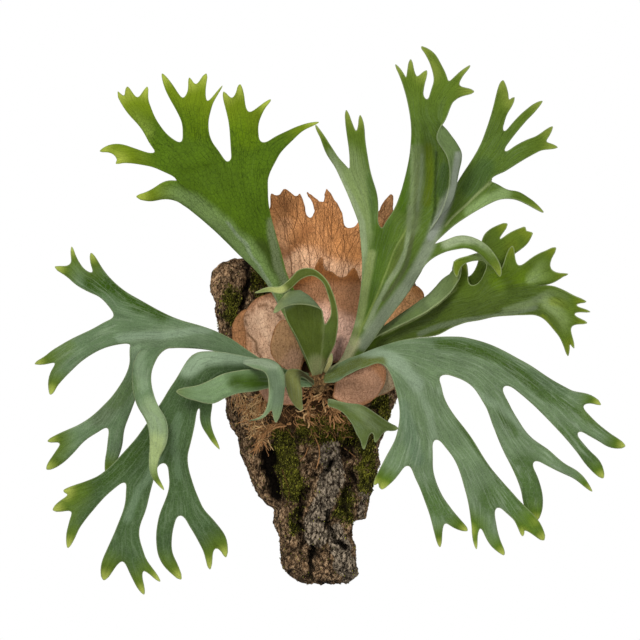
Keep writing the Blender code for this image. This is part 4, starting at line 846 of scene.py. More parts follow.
# papery shield fronds clasping the root mass
backA = ([(-14, -49, 170, -41, 178, -23, 179, -15, 173)],
    {0: [(-12, -49, 184)], 1: [(-12, -41, 185, -28, 185), (-11, -35, 189)], 2: [(-12, -20, 184)]})
backB = ([(-14, -4, 168, 4, 174, 22, 168)],
    {0: [(-12, -8, 177, 0, 176), (-10, -13, 186)], 1: [(-12, 5, 181, 14, 178), (-10, 7, 189)]})
backC = ([(-15, 39, 154, 56, 160, 73, 165)],
    {0: [(-13, 45, 176)], 1: [(-13, 61, 171, 73, 174), (-12, 71, 184)]})
shieldBack = ([[-20, 16, -19, 0, 18, -17, 20, 16, -19], [-40, 50, -29, 2, 52, -20, 52, 50, -30],
    [-50, 90, -28, 4, 92, -21, 66, 88, -32], [-54, 130, -24, 6, 132, -17, 78, 126, -27],
    (-16, -54, 162, -14, 162, -8, 161, 24, 155, 31, 149, 75, 150)], {0: backA, 2: backB, 4: backC})
shieldMiddle = ([[-12, 15, -14, 4, 17, -12, 18, 14, -14], [-32, 42, -22, 4, 44, -12, 42, 42, -23],
    [-36, 72, -24, 4, 74, -13, 48, 72, -26], (-13, -30, 94, -6, 104, 4, 105, 20, 94, 42, 95)],
    {0: [(-12, -16, 108)], 1: [(-10, -5, 112, 3, 112), (-8, 2, 121)], 2: [(-11, 12, 106)],
        3: [(-10, 28, 102, 39, 100), (-9, 34, 110)]})
shieldLeft = [[-60, -4, -24, -38, -2, -15, -18, 2, -13], [-74, 22, -27, -46, 24, -12, -19, 26, -12],
    [-75, 44, -26, -48, 46, -11, -21, 48, -13], [-77, 62, -26, -52, 66, -13, -26, 68, -16],
    [-68, 76, -25, -57, 83, -18, -38, 86, -19]]
shieldLeftRear = [[-82, 12, -34, -64, 12, -30], [-88, 38, -34, -66, 38, -30], [-86, 59, -33, -68, 62, -30],
    [-80, 66, -33, -72, 70, -31]]
shieldOval = [[-30, 6, -7, -20, 5, -6], [-46, 18, -9, -30, 16, -3, -17, 14, -6],
    [-50, 30, -9, -32, 30, -2, -16, 30, -6], [-47, 43, -9, -34, 44, -4, -22, 45, -7], [-37, 58, -7]]
shieldLowLeft = [[-62, 2, -28, -36, -6, -17, -13, -8, -14], [-63, -10, -28, -38, -14, -18, -16, -17, -17],
    [-54, -25, -28, -38, -27, -21, -22, -27, -20]]
shieldRight = [[52, 70, -37, 62, 56, -35, 70, 40, -38], [72, 86, -37, 84, 72, -34, 92, 56, -38],
    [93, 93, -35, 100, 91, -34, 106, 78, -36]]
shieldLowRight = [[14, -4, -8, 14, -12, -7, 12, -20, -9], [38, 8, -10, 34, -10, -3, 28, -26, -12],
    [58, 15, -18, 54, -4, -8, 44, -27, -20], [67, 8, -24, 64, -6, -19, 56, -20, -24]]
shieldLowRear = [[52, 16, -26, 48, -8, -20, 40, -22, -26], [66, 14, -29, 66, -4, -25, 58, -19, -29],
    [76, -2, -32, 76, -9, -31, 70, -14, -32]]


# dry shield: a net between the ribs, specks and darker margins
def shieldFinish(name, look):
    m = Finish(name + "Brown", 0.08)
    place = m.place()
    patch = m.cloud(place, 42.0)
    speck = m.cloud(place, 560.0, 3.0, 0.7)
    grain = m.cloud(m.stretch(place, 1.0, 1.0, 0.25), 420.0, 4.0, 0.7)
    net = m.net(m.stretch(place, 1.0, 1.0, 0.42), 250.0, 0.02, 0.1)
    fine = m.net(place, 480.0, 0.02, 0.14)
    color = m.blend((net * 0.6 + fine * 0.4) * look["vein"], m.painted("tint", "Color"), look["veinColor"])
    color = m.blend(m.ease(m.painted("rim"), 2.0, 0.3) * look["margin"], color, look["marginColor"])
    color = m.blend(m.ease(speck, 0.55, 0.66) * look["speck"], color, look["veinColor"])
    tone = (look["light"] * m.ease(speck, 0.3, 0.7, 1.2, 0.86) * m.ease(patch, 0.34, 0.66, 0.84, 1.12)
            * m.ease(grain, 0.34, 0.66, 0.94, 1.06))
    height = net * 0.5 + fine * 0.3 + patch * 0.6 + grain * 0.5
    return m.done(m.dim(color, tone), m.ease(speck, 0.3, 0.7, 0.72, 0.9), height, 0.0006)


plainShield = {
    "columns": 4, "pitch": 0.0034, "bow": 0.0, "thick": 0.001, "swell": 0.0012, "ripple": 0.0006,
    "fray": 0.0008, "stray": 5.0, "light": 1.0, "coats": [], "vein": 0.4, "veinColor": (110, 45, 18),
    "margin": 0.75, "marginColor": (220, 95, 34), "speck": 0.5}


def shield(name, lobe, node, changes):
    return growBlade(name, lobe, node, {**plainShield, **changes}, shieldFinish)


backShield = shield("backShield", shieldBack, "shield_back", {"seed": 21, "light": 1.33,
    "base": (395, 176, 66), "coats": [
    ((560, 330, 195), 16, 1, (-40, 118, -14, 112, 10, 102, 40, 100)),
    ((500, 260, 130), 9, 0.7, (-44, 140, -36, 152)), ((360, 150, 48), 9, 0.7, (8, 160, 20, 142, 34, 124)),
    ((250, 100, 34), 5, 0.8, (-50, 132, -34, 127, -22, 134, -12, 150)),
    ((260, 105, 36), 4, 0.6, (-52, 172, -38, 178, -26, 166)),
    ((480, 250, 120), 5, 0.7, (64, 160, 70, 184))]})
middleShield = shield("middleShield", shieldMiddle, "shield_middle", {"seed": 22,
    "light": 1.15, "base": (260, 125, 60), "vein": 0.3, "coats": [
    ((190, 68, 18), 11, 1, (-30, 98, -2, 108, 34, 104)), ((580, 360, 270), 18, 0.9, (0, 54, 20, 44, 2, 30)),
    # painted shade: dark purple-brown where the fold at the bottom goes into shadow
    ((100, 60, 50), 5, 0.85, (20, 40, 18, 22, 14, 10))]})
shield("leftShield", shieldLeft, "shield_left", {"seed": 23, "columns": 18, "light": 0.85,
    "base": (473, 292, 182), "vein": 0.3, "speck": 0.6, "coats": [
    ((270, 135, 70), 8, 1, (-72, 78, -56, 84, -40, 85)),
    ((160, 80, 40), 1, 0.9, (-76, 64, -66, 70, -54, 70, -45, 66, -39, 58)),
    ((560, 370, 240), 5, 0.7, (-62, 60, -52, 40)), ((360, 185, 95), 5, 0.9, (-79, 52, -76, 38, -70, 26)),
    ((110, 55, 25), 1, 0.9, (-75, 62, -73, 50, -68, 38, -61, 27, -57, 18))]})
shield("leftRearShield", shieldLeftRear, "shield_left_rear", {"seed": 24, "columns": 8,
    "light": 0.85, "base": (317, 148, 62)})
shield("ovalShield", shieldOval, "shield_oval", {"seed": 25, "columns": 12, "light": 0.95,
    "base": (258, 148, 69), "vein": 0.25, "coats": [
    ((340, 200, 125), 8, 0.7, (-30, 12, -26, 20))]})
shield("lowLeftShield", shieldLowLeft, "shield_low_left", {"seed": 26, "columns": 16,
    "base": (290, 160, 100), "vein": 0.2})
shield("rightShield", shieldRight, "shield_right", {"seed": 27, "columns": 10, "light": 1.5,
    "base": (420, 215, 95), "coats": [
    ((280, 120, 40), 4, 0.8, (92, 94, 106, 84))]})
shield("lowRightShield", shieldLowRight, "shield_low_right", {"seed": 28, "columns": 14,
    "light": 1.4, "base": (281, 153, 92), "vein": 0.35, "speck": 0.3, "coats": [
    ((230, 100, 40), 4, 0.8, (46, 18, 60, 8, 66, -8, 58, -22, 40, -30))]})
shield("lowRearShield", shieldLowRear, "shield_low_rear", {"seed": 29, "columns": 10,
    "base": (240, 179, 106), "vein": 0.1})

# ribs: dark lines that fan up over a shield and fork on their way
ribLook = {"dark": (0.12, 0.048, 0.018), "brown": (0.22, 0.1, 0.04), "step": 3.5, "heart": (4.0, -60.0),
           "most": 50, "fork": 0.1, "spread": 0.42, "wave": 0.16, "waveAlong": 1.3, "waveAcross": 0.2,
           "straighten": 0.86, "thinBranch": 0.85, "thinStem": 0.92}


def ribFinish():
    m = Finish("ribFinish", 0.08)
    tint = m.ease(m.cloud(m.place(), 300.0, 3.0), 0.4, 0.7)
    return m.done(m.blend(tint, ribLook["dark"], ribLook["brown"]), 0.85)


def growRibs(name, blade, starts, radius, seed):
    rng = random.Random(seed)
    front = frontOf([blade])
    bm = bmesh.new()
    growing = [(x, z, 0.0, radius) for x, z in starts]
    while growing:
        x, z, swerve, thick = growing.pop()
        points = []
        for _ in range(ribLook["most"]):
            hit = front(x, z)
            if hit is None:
                break
            points.append(hit)
            angle = math.atan2(x - ribLook["heart"][0], z - ribLook["heart"][1]) + swerve
            angle += ribLook["wave"] * math.sin(len(points) * ribLook["waveAlong"]
                                              + x * ribLook["waveAcross"])
            x += ribLook["step"] * math.sin(angle)
            z += ribLook["step"] * math.cos(angle)
            swerve *= ribLook["straighten"]
            if rng.random() < ribLook["fork"]:
                growing.append((x, z, swerve - ribLook["spread"], thick * ribLook["thinBranch"]))
                swerve += ribLook["spread"]
                thick *= ribLook["thinStem"]
        if len(points) > 2:
            tube(bm, points, thick, 4)
    finishMesh(bm, name, ribBrown)


ribBrown = ribFinish()
growRibs("backRibs", backShield, [(-24 + 6.0 * i, 60) for i in range(9)], 0.00036, 31)
growRibs("middleRibs", middleShield, [(-10 + 7 * i, 44) for i in range(4)], 0.00024, 33)
print("shields built")

# bark slab: rough front, flat back; sides are (z, x) from the bottom up
leftSide = pairs((-208, -15, -201, -29, -191, -38, -176, -40, -159, -41, -150, -46, -132, -46, -128, -53,
    -119, -62, -107, -68, -91, -74, -78, -80, -59, -83, -50, -90, -34, -95, -14, -94, 20, -98, 46, -102, 57,
    -103, 66, -106, 76, -105, 84, -110, 95, -111, 108, -108, 115, -101, 120, -86))
rightSide = pairs((-208, 29, -198, 39, -184, 36, -170, 36, -160, 32, -144, 33, -142, 46, -127, 49, -110,
    53, -96, 57, -87, 60, -72, 58, -55, 65, -38, 70, -20, 78, 0, 81, 30, 87, 60, 93, 82, 99, 96, 96, 108,
    86, 120, 71))

# depths are in mm from the wall; lumps are (scale, height) pairs; the pocket and the room behind the
# keyhole are x, z, half width, half height and depth in metres
barkLook = {"across": 150, "down": 250, "crumb": 0.0012, "stray": (4.5, 2.4), "skirt": 0.985,
            "lumps": ((1.0, 4.2), (2.3, 3.0), (5.2, 1.9), (11.0, 1.2)), "meanLump": 1.2, "crease": 1.9,
            "depth": 40.0, "inset": 4.5, "endDepth": 0.45, "topThin": 0.15, "rimLumps": 0.35,
            "thinnest": 7.0, "thickest": 40.5,
            "pocket": (0.0, 0.06, 0.0304, 0.0124, 0.0034), "keyRoom": (0.0, 0.06, 0.0065, 0.0065, 0.0086)}

# raised plates, hollows and patches of colour, each stroke as radius, amount and line
barkStrokes = {
    "plates": [(12, 6.5, (10, -74, 14, -95, 4, -122, -2, -145, -6, -164)),
        (10, 6, (14, -154, 22, -176, 30, -202)), (8, 5, (-72, -66, -66, -95, -56, -118)),
        (9, 4, (-30, -145, -30, -190)), (7, 5, (42, -104, 42, -142)), (5, 4, (2, -172, 2, -206)),
        (10, 4, (-36, -62, -30, -104)), (8, 4, (46, -62, 44, -100)), (12, 5, (-92, 112, -94, 92)),
        (7, 4, (-64, 104, -62, 88))],
    "hollows": [(6.5, 13, (-52, -74, -50, -96, -44, -120)), (3, 10, (-9, -172, -9, -200)),
        (2.5, 8, (5, -97, 10, -86)), (6, 9, (30, -60, 29, -76)),
        (3.5, 8, (-14, -112, -19, -128, -20, -146, -16, -168)),
        (2.5, 8, (9, -134, 9, -150, 17, -164, 24, -172)), (4, 7, (32, -92, 29, -112, 27, -134)),
        (3, 6, (-24, -134, -26, -150)), (4, 5, (-30, -196, -14, -204)), (4, 6, (4, -206, 14, -208)),
        (3, 9, (-76, 118, -73, 96, -77, 78, -75, 60)), (1.6, 5, (-90, 116, -86, 102, -90, 88)),
        (1.6, 4, (-100, 108, -98, 96, -103, 84))],
    "grey": [(11, 1, (10, -76, 14, -95, 4, -122, -2, -145, -5, -160)),
        (10, 1, (16, -158, 23, -180, 30, -202)), (4, 0.6, (43, -112, 43, -140))],
    "moss": [(12, 1, (-40, -56, -34, -84, -26, -112)), (9, 0.9, (48, -62, 45, -106)),
        (10, 0.8, (-14, -54, 34, -56)), (8, 0.8, (28, -116, 24, -138)), (7, 0.7, (-24, -136, -24, -150)),
        (8, 0.9, (60, -24, 64, -44)), (8, 0.8, (-88, 86, -92, 68, -86, 58)), (8, 0.8, (-64, 102, -60, 88))],
    "rust": [(4, 1, (-50, -117, -48, -121)), (3.5, 1, (26, -142, 27, -150)),
        (5, 0.9, (-14, -160, -4, -164)), (4.5, 0.35, (2, -174, 3, -196)), (6, 0.35, (-70, -70, -60, -110)),
        (14, 1, (-96, 112, -96, 88)), (10, 0.8, (-82, -18, -68, -40, -58, -62))]}
barkStrokes = {kind: [(pairs(line), radius, amount) for radius, amount, line in laid]
               for kind, laid in barkStrokes.items()}


def sideAt(table, z):
    for (z0, x0), (z1, x1) in zip(table, table[1:]):
        if z <= z1:
            return x0 + (x1 - x0) * max(0.0, (z - z0) / (z1 - z0))
    return table[-1][1]


# strongest of one kind of soft-edged strokes at a place
def strokes(x, z, kind):
    return max([nearness(x, z, line, radius) * amount for line, radius, amount in barkStrokes[kind]] + [0.0])


# lumps of the bark in mm, creased where two lumps meet
def barkLumps(x, z):
    p = Vector((x * 0.052, 3.0, z * 0.034))
    return sum(abs(noise.noise(p * scale)) * high for scale, high in barkLook["lumps"])


# place on the front of the slab, how much painted shade it gets in hollows and creases and the place its
# marks are read at
def slabSpot(u, v):
    z = leftSide[0][0] + (leftSide[-1][0] - leftSide[0][0]) * v
    left, right = sideAt(leftSide, z), sideAt(rightSide, z)
    x = left + (right - left) * (0.5 - 0.5 * math.cos(math.pi * u))
    p = Vector((x * 0.07, 1.0, z * 0.07))
    coarse, fine = barkLook["stray"]
    stray = noise.noise_vector(p) * coarse + noise.noise_vector(p * 3.3) * fine
    thin, bare = barkLook["endDepth"], barkLook["rimLumps"]
    ends = min(1.0, thin + (1 - thin) * math.sqrt(min(1.0, 18 * min(v, 1 - v))))
    depth = barkLook["depth"] * max(0.0, 1 - abs(2 * u - 1) ** 4) ** 0.5 * ends
    depth *= 1.0 - barkLook["topThin"] * max(0.0, z - 20) / 100
    lumps = barkLumps(x, z)
    hollow = strokes(x + stray.x, z + stray.z, "hollows")
    edge = min(1.0, 6 * min(u, 1 - u), 8 * min(v, 1 - v))
    deep = (depth - barkLook["inset"] + (strokes(x + stray.x, z + stray.z, "plates") - hollow) * edge
            + (lumps - barkLook["meanLump"]) * (bare + (1 - bare) * edge))
    deep = min(max(deep, barkLook["thinnest"]), barkLook["thickest"])
    # painted shade: darkness that grows in the hollows and in the creases between lumps
    hollowShade = min(1.0, hollow / 11.0 + max(0.0, barkLook["crease"] - lumps) * 0.5)
    return Vector((x, -deep, z)), hollowShade, (x + stray.x, z + stray.z)


# sinks a square hollow into a face of the back and gives its floor
def cutSquare(bm, face, x, z, halfWide, halfHigh, depth):
    geom = [face, *face.edges, *face.verts]
    for co, no in (((x - halfWide, 0, 0), (1, 0, 0)), ((x + halfWide, 0, 0), (1, 0, 0)),
                   ((0, 0, z - halfHigh), (0, 0, 1)), ((0, 0, z + halfHigh), (0, 0, 1))):
        geom = bmesh.ops.bisect_plane(bm, geom=geom, plane_co=co, plane_no=no)["geom"]
    faces = [g for g in geom if isinstance(g, bmesh.types.BMFace)]
    centre = Vector((x, 0, z))
    middle = min(faces, key=lambda f: (f.calc_center_bounds() - centre).xz.length + f.calc_area())
    made = bmesh.ops.extrude_face_region(bm, geom=[middle])["geom"]
    moved = [g for g in made if isinstance(g, bmesh.types.BMVert)]
    bmesh.ops.translate(bm, verts=moved, vec=(0, -depth, 0))
    bmesh.ops.delete(bm, geom=[middle], context="FACES_ONLY")
    return next(g for g in made if isinstance(g, bmesh.types.BMFace))


def barkFinish():
    m = Finish("barkFinish")
    place = m.place()
    lumps = m.cloud(place, 150.0, 5.0, 0.7)
    grit = m.cloud(m.stretch(place, 1.0, 1.0, 0.6), 400.0, 4.0, 0.8)
    patch = m.cloud(place, 95.0, 4.0, 0.65) - 0.5
    flecks = m.cloud(m.shift(place, 3.0, 1.0, 2.0), 700.0, 3.0, 0.8)
    drift = m.cloud(place, 110.0, 4.0, 0.5, out="Color")
    bent = m.node("ShaderNodeVectorMath", {"operation": "MULTIPLY_ADD"},
                  {0: drift, 1: (0.009, 0.009, 0.009), 2: place})
    gaps = m.net(m.stretch(bent, 1.0, 1.0, 0.6), 85.0, 0.0, 0.07)
    crease = m.ease((m.cloud(m.stretch(place, 1.0, 1.0, 0.5), 120.0, 3.0, 0.6) - 0.5).size(),
                    0.0, 0.035, 1.0, 0.0)
    rust = m.blend(m.ease(grit, 0.4, 0.58), (0.12, 0.06, 0.026), (0.56, 0.35, 0.19))
    stone = m.blend(m.ease(grit, 0.42, 0.58), (0.05, 0.036, 0.023), (0.35, 0.28, 0.2))
    green = m.blend(m.ease(flecks, 0.42, 0.64), (0.02, 0.02, 0.004), (0.15, 0.145, 0.02))
    color = m.blend(m.ease(lumps, 0.4, 0.58), (0.03, 0.018, 0.009), (0.15, 0.088, 0.044))
    for cover, over in (
            (m.painted("rust"), rust),
            (m.ease(grit, 0.49, 0.6) * m.ease(flecks, 0.35, 0.6, 0.5, 1.0), (0.46, 0.31, 0.18)),
            (m.ease(m.painted("grey") + patch * 2.0, 0.3, 0.65), stone),
            (m.ease(m.painted("moss") - patch * 2.6, 0.3, 0.75), green),
            (crease * 0.5, (0.014, 0.01, 0.006)), (gaps * 0.6, (0.01, 0.007, 0.004)),
            (m.ease(grit, 0.48, 0.38) * 0.9, (0.012, 0.008, 0.005)),
            # painted shade: near black laid over the hollows and creases marked on the slab
            (m.painted("dark"), (0.008, 0.006, 0.004))):
        color = m.blend(cover, color, over)
    height = lumps * 1.2 + grit * 0.9 + flecks * 0.4 - crease * 0.5 - gaps * 0.9
    return m.done(color, 0.92, height, 0.0026)


def buildBark():
    bm = bmesh.new()
    marks = {key: bm.verts.layers.float.new(key) for key in ("grey", "moss", "rust", "dark")}
    bmesh.ops.create_grid(bm, x_segments=barkLook["across"], y_segments=barkLook["down"], size=0.5)
    for vert in bm.verts:
        # the dark mark holds the painted shade of hollows and creases
        point, vert[marks["dark"]], (x, z) = slabSpot(vert.co.x + 0.5, vert.co.y + 0.5)
        for key in ("grey", "moss", "rust"):
            vert[marks[key]] = strokes(x, z, key)
        crumb = noise.noise_vector(point * 0.16) + noise.noise_vector(point * 0.416)
        vert.co = point * unit + crumb * barkLook["crumb"]
    made = bmesh.ops.extrude_edge_only(bm, edges=[e for e in bm.edges if e.is_boundary])["geom"]
    for item in made:
        if isinstance(item, bmesh.types.BMVert):
            item.co.x *= barkLook["skirt"]
            item.co.y = 0.0
    back = bmesh.ops.contextual_create(bm, geom=[e for e in bm.edges if e.is_boundary])["faces"][0]
    floor = cutSquare(bm, back, *barkLook["pocket"])
    cutSquare(bm, floor, *barkLook["keyRoom"])
    bmesh.ops.recalc_face_normals(bm, faces=bm.faces)
    piece = finishMesh(bm, "barkPiece", barkFinish())
    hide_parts("bark_slab")
    return piece


barkPiece = buildBark()
print("bark built")

# root mass and its loose roots
rootLook = {
    "seed": 11, "dark": (0.018, 0.01, 0.004), "brown": (0.048, 0.024, 0.01), "tan": (0.4, 0.205, 0.085),
    "straw": (0.62, 0.42, 0.2), "centre": (-5, -49, 2), "half": (60, 16, 58), "back": 39.95,
    "fibreParts": 6, "fibreSides": 4, "runnerParts": 18, "runnerSides": 6, "rise": 0.002}

# bunches of fibres: count, radius of a fibre, length, shade, sway, how far they stray and the lines
# (x, z, lift) they follow
rootBunches = [
    (620, (0.22, 0.5), (6, 15), (0.05, 0.6), 0.9, 12.0, [
        [(-50, -10, 0.5), (-44, -44, 0.5)], [(-40, -28, 0.5), (-10, -50, 0.5)],
        [(-20, -40, 0.5), (30, -52, 0.5)], [(10, -24, 0.5), (34, -46, 0.5)],
        [(-60, 30, 0.5), (-50, 50, 0.5)], [(40, 30, 0.5), (46, 52, 0.5)]]),
    (380, (0.3, 0.6), (6, 15), (0.35, 1.0), 0.9, 8.0, [
        [(-82, -18, 1), (-72, -34, 2), (-64, -52, 2), (-58, -64, 1)], [(-60, -22, 2), (-56, -36, 2)]]),
    (110, (0.7, 1.3), (7, 15), (0.15, 0.85), 0.9, 3.6, [
        [(-5, 1, 19), (-9, -12, 17), (-11, -26, 10), (-13, -42, 3)],
        [(-1, -5, 19), (4, -16, 15), (9, -28, 9), (16, -42, 3)]]),
    (70, (0.35, 0.7), (5, 10), (0.25, 0.75), 0.45, 2.0, [
        [(-36, -46, 3), (-50, -50, 3), (-58, -62, 3), (-66, -74, 2)]])]

# long single roots: radius, shade and line
rootRunners = [
    (1.6, 0.45, (-30, -46, -42, -47, -52, -52, -58, -60, -66, -74)),
    (1.1, 0.6, (-34, -48, -46, -51, -55, -58, -60, -68)),
    (0.8, 0.5, (-24, -46, -14, -48, -6, -58, -1, -70, -1, -82, -4, -92)),
    (0.7, 0.3, (-14, -40, -8, -46, 4, -48, 16, -42)),
    (0.7, 0.15, (-38, -92, -34, -104, -31, -116, -34, -128)),
    (0.5, 0.4, (14, -64, 26, -72, 36, -80)), (0.6, 0.4, (-12, -70, -15, -78, -20, -84)),
    (0.5, 0.7, (-72, -42, -84, -46, -90, -46))]


def rootFinish():
    m = Finish("rootFinish")
    place = m.place()
    shade = m.painted("shade")
    tint = m.cloud(place, 90.0)
    grit = m.cloud(place, 700.0, 3.0, 0.7)
    color = m.blend(m.ease(tint, 0.38, 0.62), rootLook["dark"], rootLook["brown"])
    color = m.blend(m.ease(shade, 0.05, 0.6), color, rootLook["tan"])
    color = m.blend(m.ease(shade, 0.55, 1.0), color, rootLook["straw"])
    color = m.blend(m.ease(grit, 0.5, 0.36) * 0.7, color, (0.015, 0.009, 0.005))
    return m.done(color, 0.9, grit + tint, 0.0006)


def bentLine(rng, start, aim, length, count, sway):
    points = [start]
    step = aim.normalized()
    for _ in range(count):
        turn = Vector((rng.uniform(-sway, sway), rng.uniform(-sway, sway) * 0.5, rng.uniform(-sway, sway)))
        step = (step + turn).normalized()
        points.append(points[-1] + step * (length / count))
    return points


def buildRootMass():
    bm = bmesh.new()
    bmesh.ops.create_icosphere(bm, subdivisions=5, radius=1.0)
    centre, half = Vector(rootLook["centre"]), Vector(rootLook["half"])
    for vert in bm.verts:
        n = vert.co.normalized()
        bump = 1 + 0.05 * noise.noise(n * 3.1) + 0.05 * noise.fractal(n * 7.0, 0.8, 2.0, 4)
        vert.co = centre + n * half * bump
        vert.co.y = min(vert.co.y, -rootLook["back"])
        vert.co *= unit
    piece = finishMesh(bm, "rootMass", rootFinish())
    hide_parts("root_ball")
    return piece


# fibres in bunches and the long roots, laid on what is frontmost
def buildRoots():
    rng = random.Random(rootLook["seed"])
    jobs = []
    for count, thick, length, shades, sway, stray, lines in rootBunches:
        for _ in range(count):
            line = rng.choice(lines)
            k = rng.randrange(len(line) - 1)
            share = rng.random()
            x, z, lift = (a + (b - a) * share for a, b in zip(line[k], line[k + 1]))
            x += rng.gauss(0, stray * 0.5)
            hit = front(x, z + rng.gauss(0, stray * 0.5))
            if hit is None:
                continue
            start = hit + Vector((0, -lift * unit * rng.uniform(0.3, 1.0), rootLook["rise"]))
            along = Vector((line[k + 1][0] - line[k][0], 0, line[k + 1][1] - line[k][1])).normalized()
            aim = along + Vector((rng.gauss(0, sway), rng.uniform(-0.3, 0.3), rng.gauss(0, sway * 0.6)))
            fibre = bentLine(rng, start, aim, rng.uniform(*length) * unit, rootLook["fibreParts"], sway * 0.6)
            jobs.append((rng.uniform(*shades), fibre, rng.uniform(*thick) * unit, rootLook["fibreSides"]))
    for radius, shade, path in rootRunners:
        points = [front(x, z) + Vector((0, -radius * unit, 0)) for x, z in pairs(path)]
        shares = [i / rootLook["runnerParts"] for i in range(rootLook["runnerParts"] + 1)]
        jobs.append((shade, rowAt(points, shares), radius * unit, rootLook["runnerSides"]))
    piece = finishMesh(gather(jobs, "shade", tube), "rootFibres", rootMass.data.materials[0])


rootMass = buildRootMass()
front = frontOf([rootMass, barkPiece])
buildRoots()
print("roots built")

# moss: little pointed leaves standing on the slab
mossLook = {
    "leaves": 7000, "high": (0.0012, 0.0034), "wide": 0.0007, "seed": 3, "dark": (0.026, 0.028, 0.005),
    "bright": (0.165, 0.168, 0.016), "tip": (0.33, 0.31, 0.05), "onRoots": 0.08, "rootsAcross": (-24, 38),
    "rootsDown": (-50, 7), "rootsLush": 0.8, "stray": 0.0008, "clump": 130, "stragglers": 0.012}


def mossFinish():
    m = Finish("mossFinish")
    lift = m.painted("lift")
    tint = m.cloud(m.place(), 90.0, 3.0, 0.6)
    color = m.blend(m.ease(tint, 0.42, 0.66), mossLook["dark"], mossLook["bright"])
    color = m.blend(m.ease(lift, 0.5, 1.0, 0.0, 0.7), color, mossLook["tip"])
    return m.done(m.dim(color, m.ease(lift, 0.0, 0.8, 0.5, 1.0)), 0.8)


def mossLeaf(bm, point, high, tilt, turn):
    pose = (Matrix.Translation(point) @ Matrix.Rotation(tilt, 4, "X") @ Matrix.Rotation(turn, 4, "Y")
            @ Matrix.Rotation(math.pi / 2, 4, "X") @ Matrix.Translation((0, 0, high * 0.4)))
    return bmesh.ops.create_cone(bm, segments=3, radius1=mossLook["wide"], radius2=0.0,
                                 depth=high, matrix=pose)["verts"]


def buildMoss():
    rng = random.Random(mossLook["seed"])
    verts = barkPiece.data.vertices
    cover, hollowShade = (barkPiece.data.attributes[key].data for key in ("moss", "dark"))
    jobs = []
    while len(jobs) < mossLook["leaves"]:
        if rng.random() < mossLook["onRoots"]:
            point = front(rng.uniform(*mossLook["rootsAcross"]), rng.gauss(*mossLook["rootsDown"]))
            lush = mossLook["rootsLush"]
        else:
            k = rng.randrange(len(verts))
            point = verts[k].co + Vector((rng.uniform(-1, 1), 0, rng.uniform(-1, 1))) * mossLook["stray"]
            lush = cover[k].value * (1.2 - hollowShade[k].value)
        lush *= 0.6 + 1.2 * noise.noise(point * mossLook["clump"])
        if rng.random() < lush + mossLook["stragglers"]:
            jobs.append((rng.random(), point, rng.uniform(*mossLook["high"]),
                         rng.uniform(-1.0, 1.0), rng.uniform(-1.0, 1.0)))
    finishMesh(gather(jobs, "lift", mossLeaf), "mossLeaves", mossFinish())


buildMoss()
print("moss built")

# growing point with its brown scales
crownLook = {"radius": 0.0115, "heart": (-0.001, 0.004 - crownOut, -0.002), "stretch": 2.1, "flatten": 0.9,
             "scales": 260, "seed": 5, "base": (0.04, 0.024, 0.01), "tip": (0.2, 0.115, 0.045)}


def crownFinish():
    m = Finish("crownFinish", 0.08)
    tint = m.cloud(m.place(), 300.0, 3.0)
    return m.done(m.blend(m.ease(tint, 0.35, 0.65), crownLook["base"], crownLook["tip"]), 0.85, tint, 0.0004)


def buildCrown():
    rng = random.Random(crownLook["seed"])
    bm = bmesh.new()
    heart = Vector(crownLook["heart"])
    for vert in bmesh.ops.create_icosphere(bm, subdivisions=4, radius=crownLook["radius"])["verts"]:
        bump = 1 + 0.06 * noise.noise(vert.co * 260)
        deep = crownLook["flatten"] if vert.co.y < 0 else crownLook["stretch"]
        vert.co = heart + vert.co * Vector((bump, deep, bump))
    for _ in range(crownLook["scales"]):
        out = Vector((rng.gauss(0, 1), -abs(rng.gauss(0, 1)), rng.gauss(0, 1))).normalized()
        pose = (Matrix.Translation(heart + out * (crownLook["radius"] * 0.97))
                @ upTo(out + Vector((0, 0, -0.6))) @ Matrix.Translation((0, 0, 0.0012)))
        bmesh.ops.create_cone(bm, segments=3, radius1=0.0006, radius2=0.0, depth=0.0034, matrix=pose)
    bmesh.ops.recalc_face_normals(bm, faces=bm.faces)
    piece = finishMesh(bm, "crownScales", crownFinish())
    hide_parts("crown_rhizome")


buildCrown()
print("crown built")


# steel of the hanging plate and its screws
def steelFinish(name, tone, rough):
    m = Finish(name, 0.5)
    scratch = m.cloud(m.stretch(m.place(), 1.0, 1.0, 14.0), 900.0, 3.0)
    m.put(m.shader, "Metallic", 1.0)
    color = m.blend(m.ease(scratch, 0.4, 0.6), tone, [c * 0.8 for c in tone])
    return m.done(color, m.ease(scratch, 0.3, 0.7, rough, rough + 0.15))


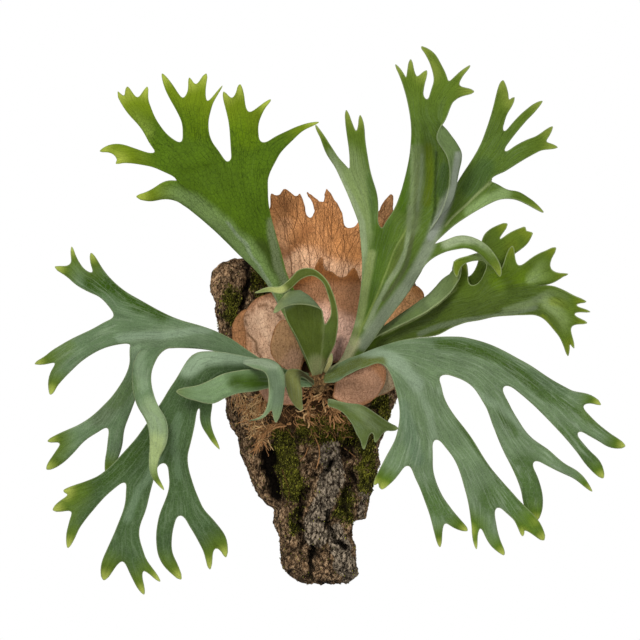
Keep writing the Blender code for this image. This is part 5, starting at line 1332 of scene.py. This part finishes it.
plateSteel = steelFinish("plateSteel", (0.55, 0.55, 0.56), 0.35)
screwSteel = steelFinish("screwSteel", (0.62, 0.62, 0.63), 0.28)
for node, steel in (("hanger_plate", plateSteel), ("hanger_screw_left", screwSteel),
                    ("hanger_screw_right", screwSteel)):
    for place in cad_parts[node].material_slots:
        place.material = steel

# plain pale floor, soft light and the viewing angle
sceneLook = {"floor": -0.5, "sky": 1.0, "aim": (0.0, -0.09, 0.03), "distance": 10.0, "eye": 0.058,
             "lens": 562.5}
lamps = {"keyLight": ((-1.0, -2.4, 1.6), 62.0, 0.9), "fillLight": ((1.3, -2.3, 0.5), 16.0, 1.4)}


def putInScene(name, data):
    made = bpy.data.objects.new(name, data)
    bpy.context.scene.collection.objects.link(made)
    return made


def buildFloor():
    m = Finish("floorFinish", 0.08)
    bm = bmesh.new()
    bmesh.ops.create_grid(bm, x_segments=1, y_segments=1, size=1.5,
                          matrix=Matrix.Translation((0, 0, sceneLook["floor"])))
    mesh = bpy.data.meshes.new("paleFloor")
    bm.to_mesh(mesh)
    bm.free()
    color = m.blend(m.cloud(m.place(), 3.0), (0.84, 0.84, 0.84), (0.88, 0.88, 0.88))
    mesh.materials.append(m.done(color, 0.9))
    putInScene("paleFloor", mesh)


def buildLight():
    world = bpy.data.worlds.new("paleSky")
    bpy.context.scene.world = world
    world.use_nodes = True
    world.node_tree.nodes["Background"].inputs["Color"].default_value = (1.0, 1.0, 1.0, 1.0)
    world.node_tree.nodes["Background"].inputs["Strength"].default_value = sceneLook["sky"]
    for name, (where, power, size) in lamps.items():
        lamp = bpy.data.lights.new(name, "AREA")
        lamp.energy = power
        lamp.size = size
        holder = putInScene(name, lamp)
        holder.location = where
        aim = Vector(sceneLook["aim"]) - Vector(where)
        holder.rotation_euler = aim.to_track_quat("-Z", "Y").to_euler()


def buildCamera():
    lens = bpy.data.cameras.new("mainCamera")
    lens.lens = sceneLook["lens"]
    lens.sensor_width = 36.0
    lens.clip_end = 60.0
    camera = putInScene("mainCamera", lens)
    camera.location = (0.0, -crownOut - sceneLook["distance"], sceneLook["eye"])
    camera.rotation_euler = (math.radians(90), 0.0, 0.0)
    bpy.context.scene.camera = camera


buildFloor()
buildLight()
buildCamera()
bpy.context.scene.view_settings.view_transform = "Standard"
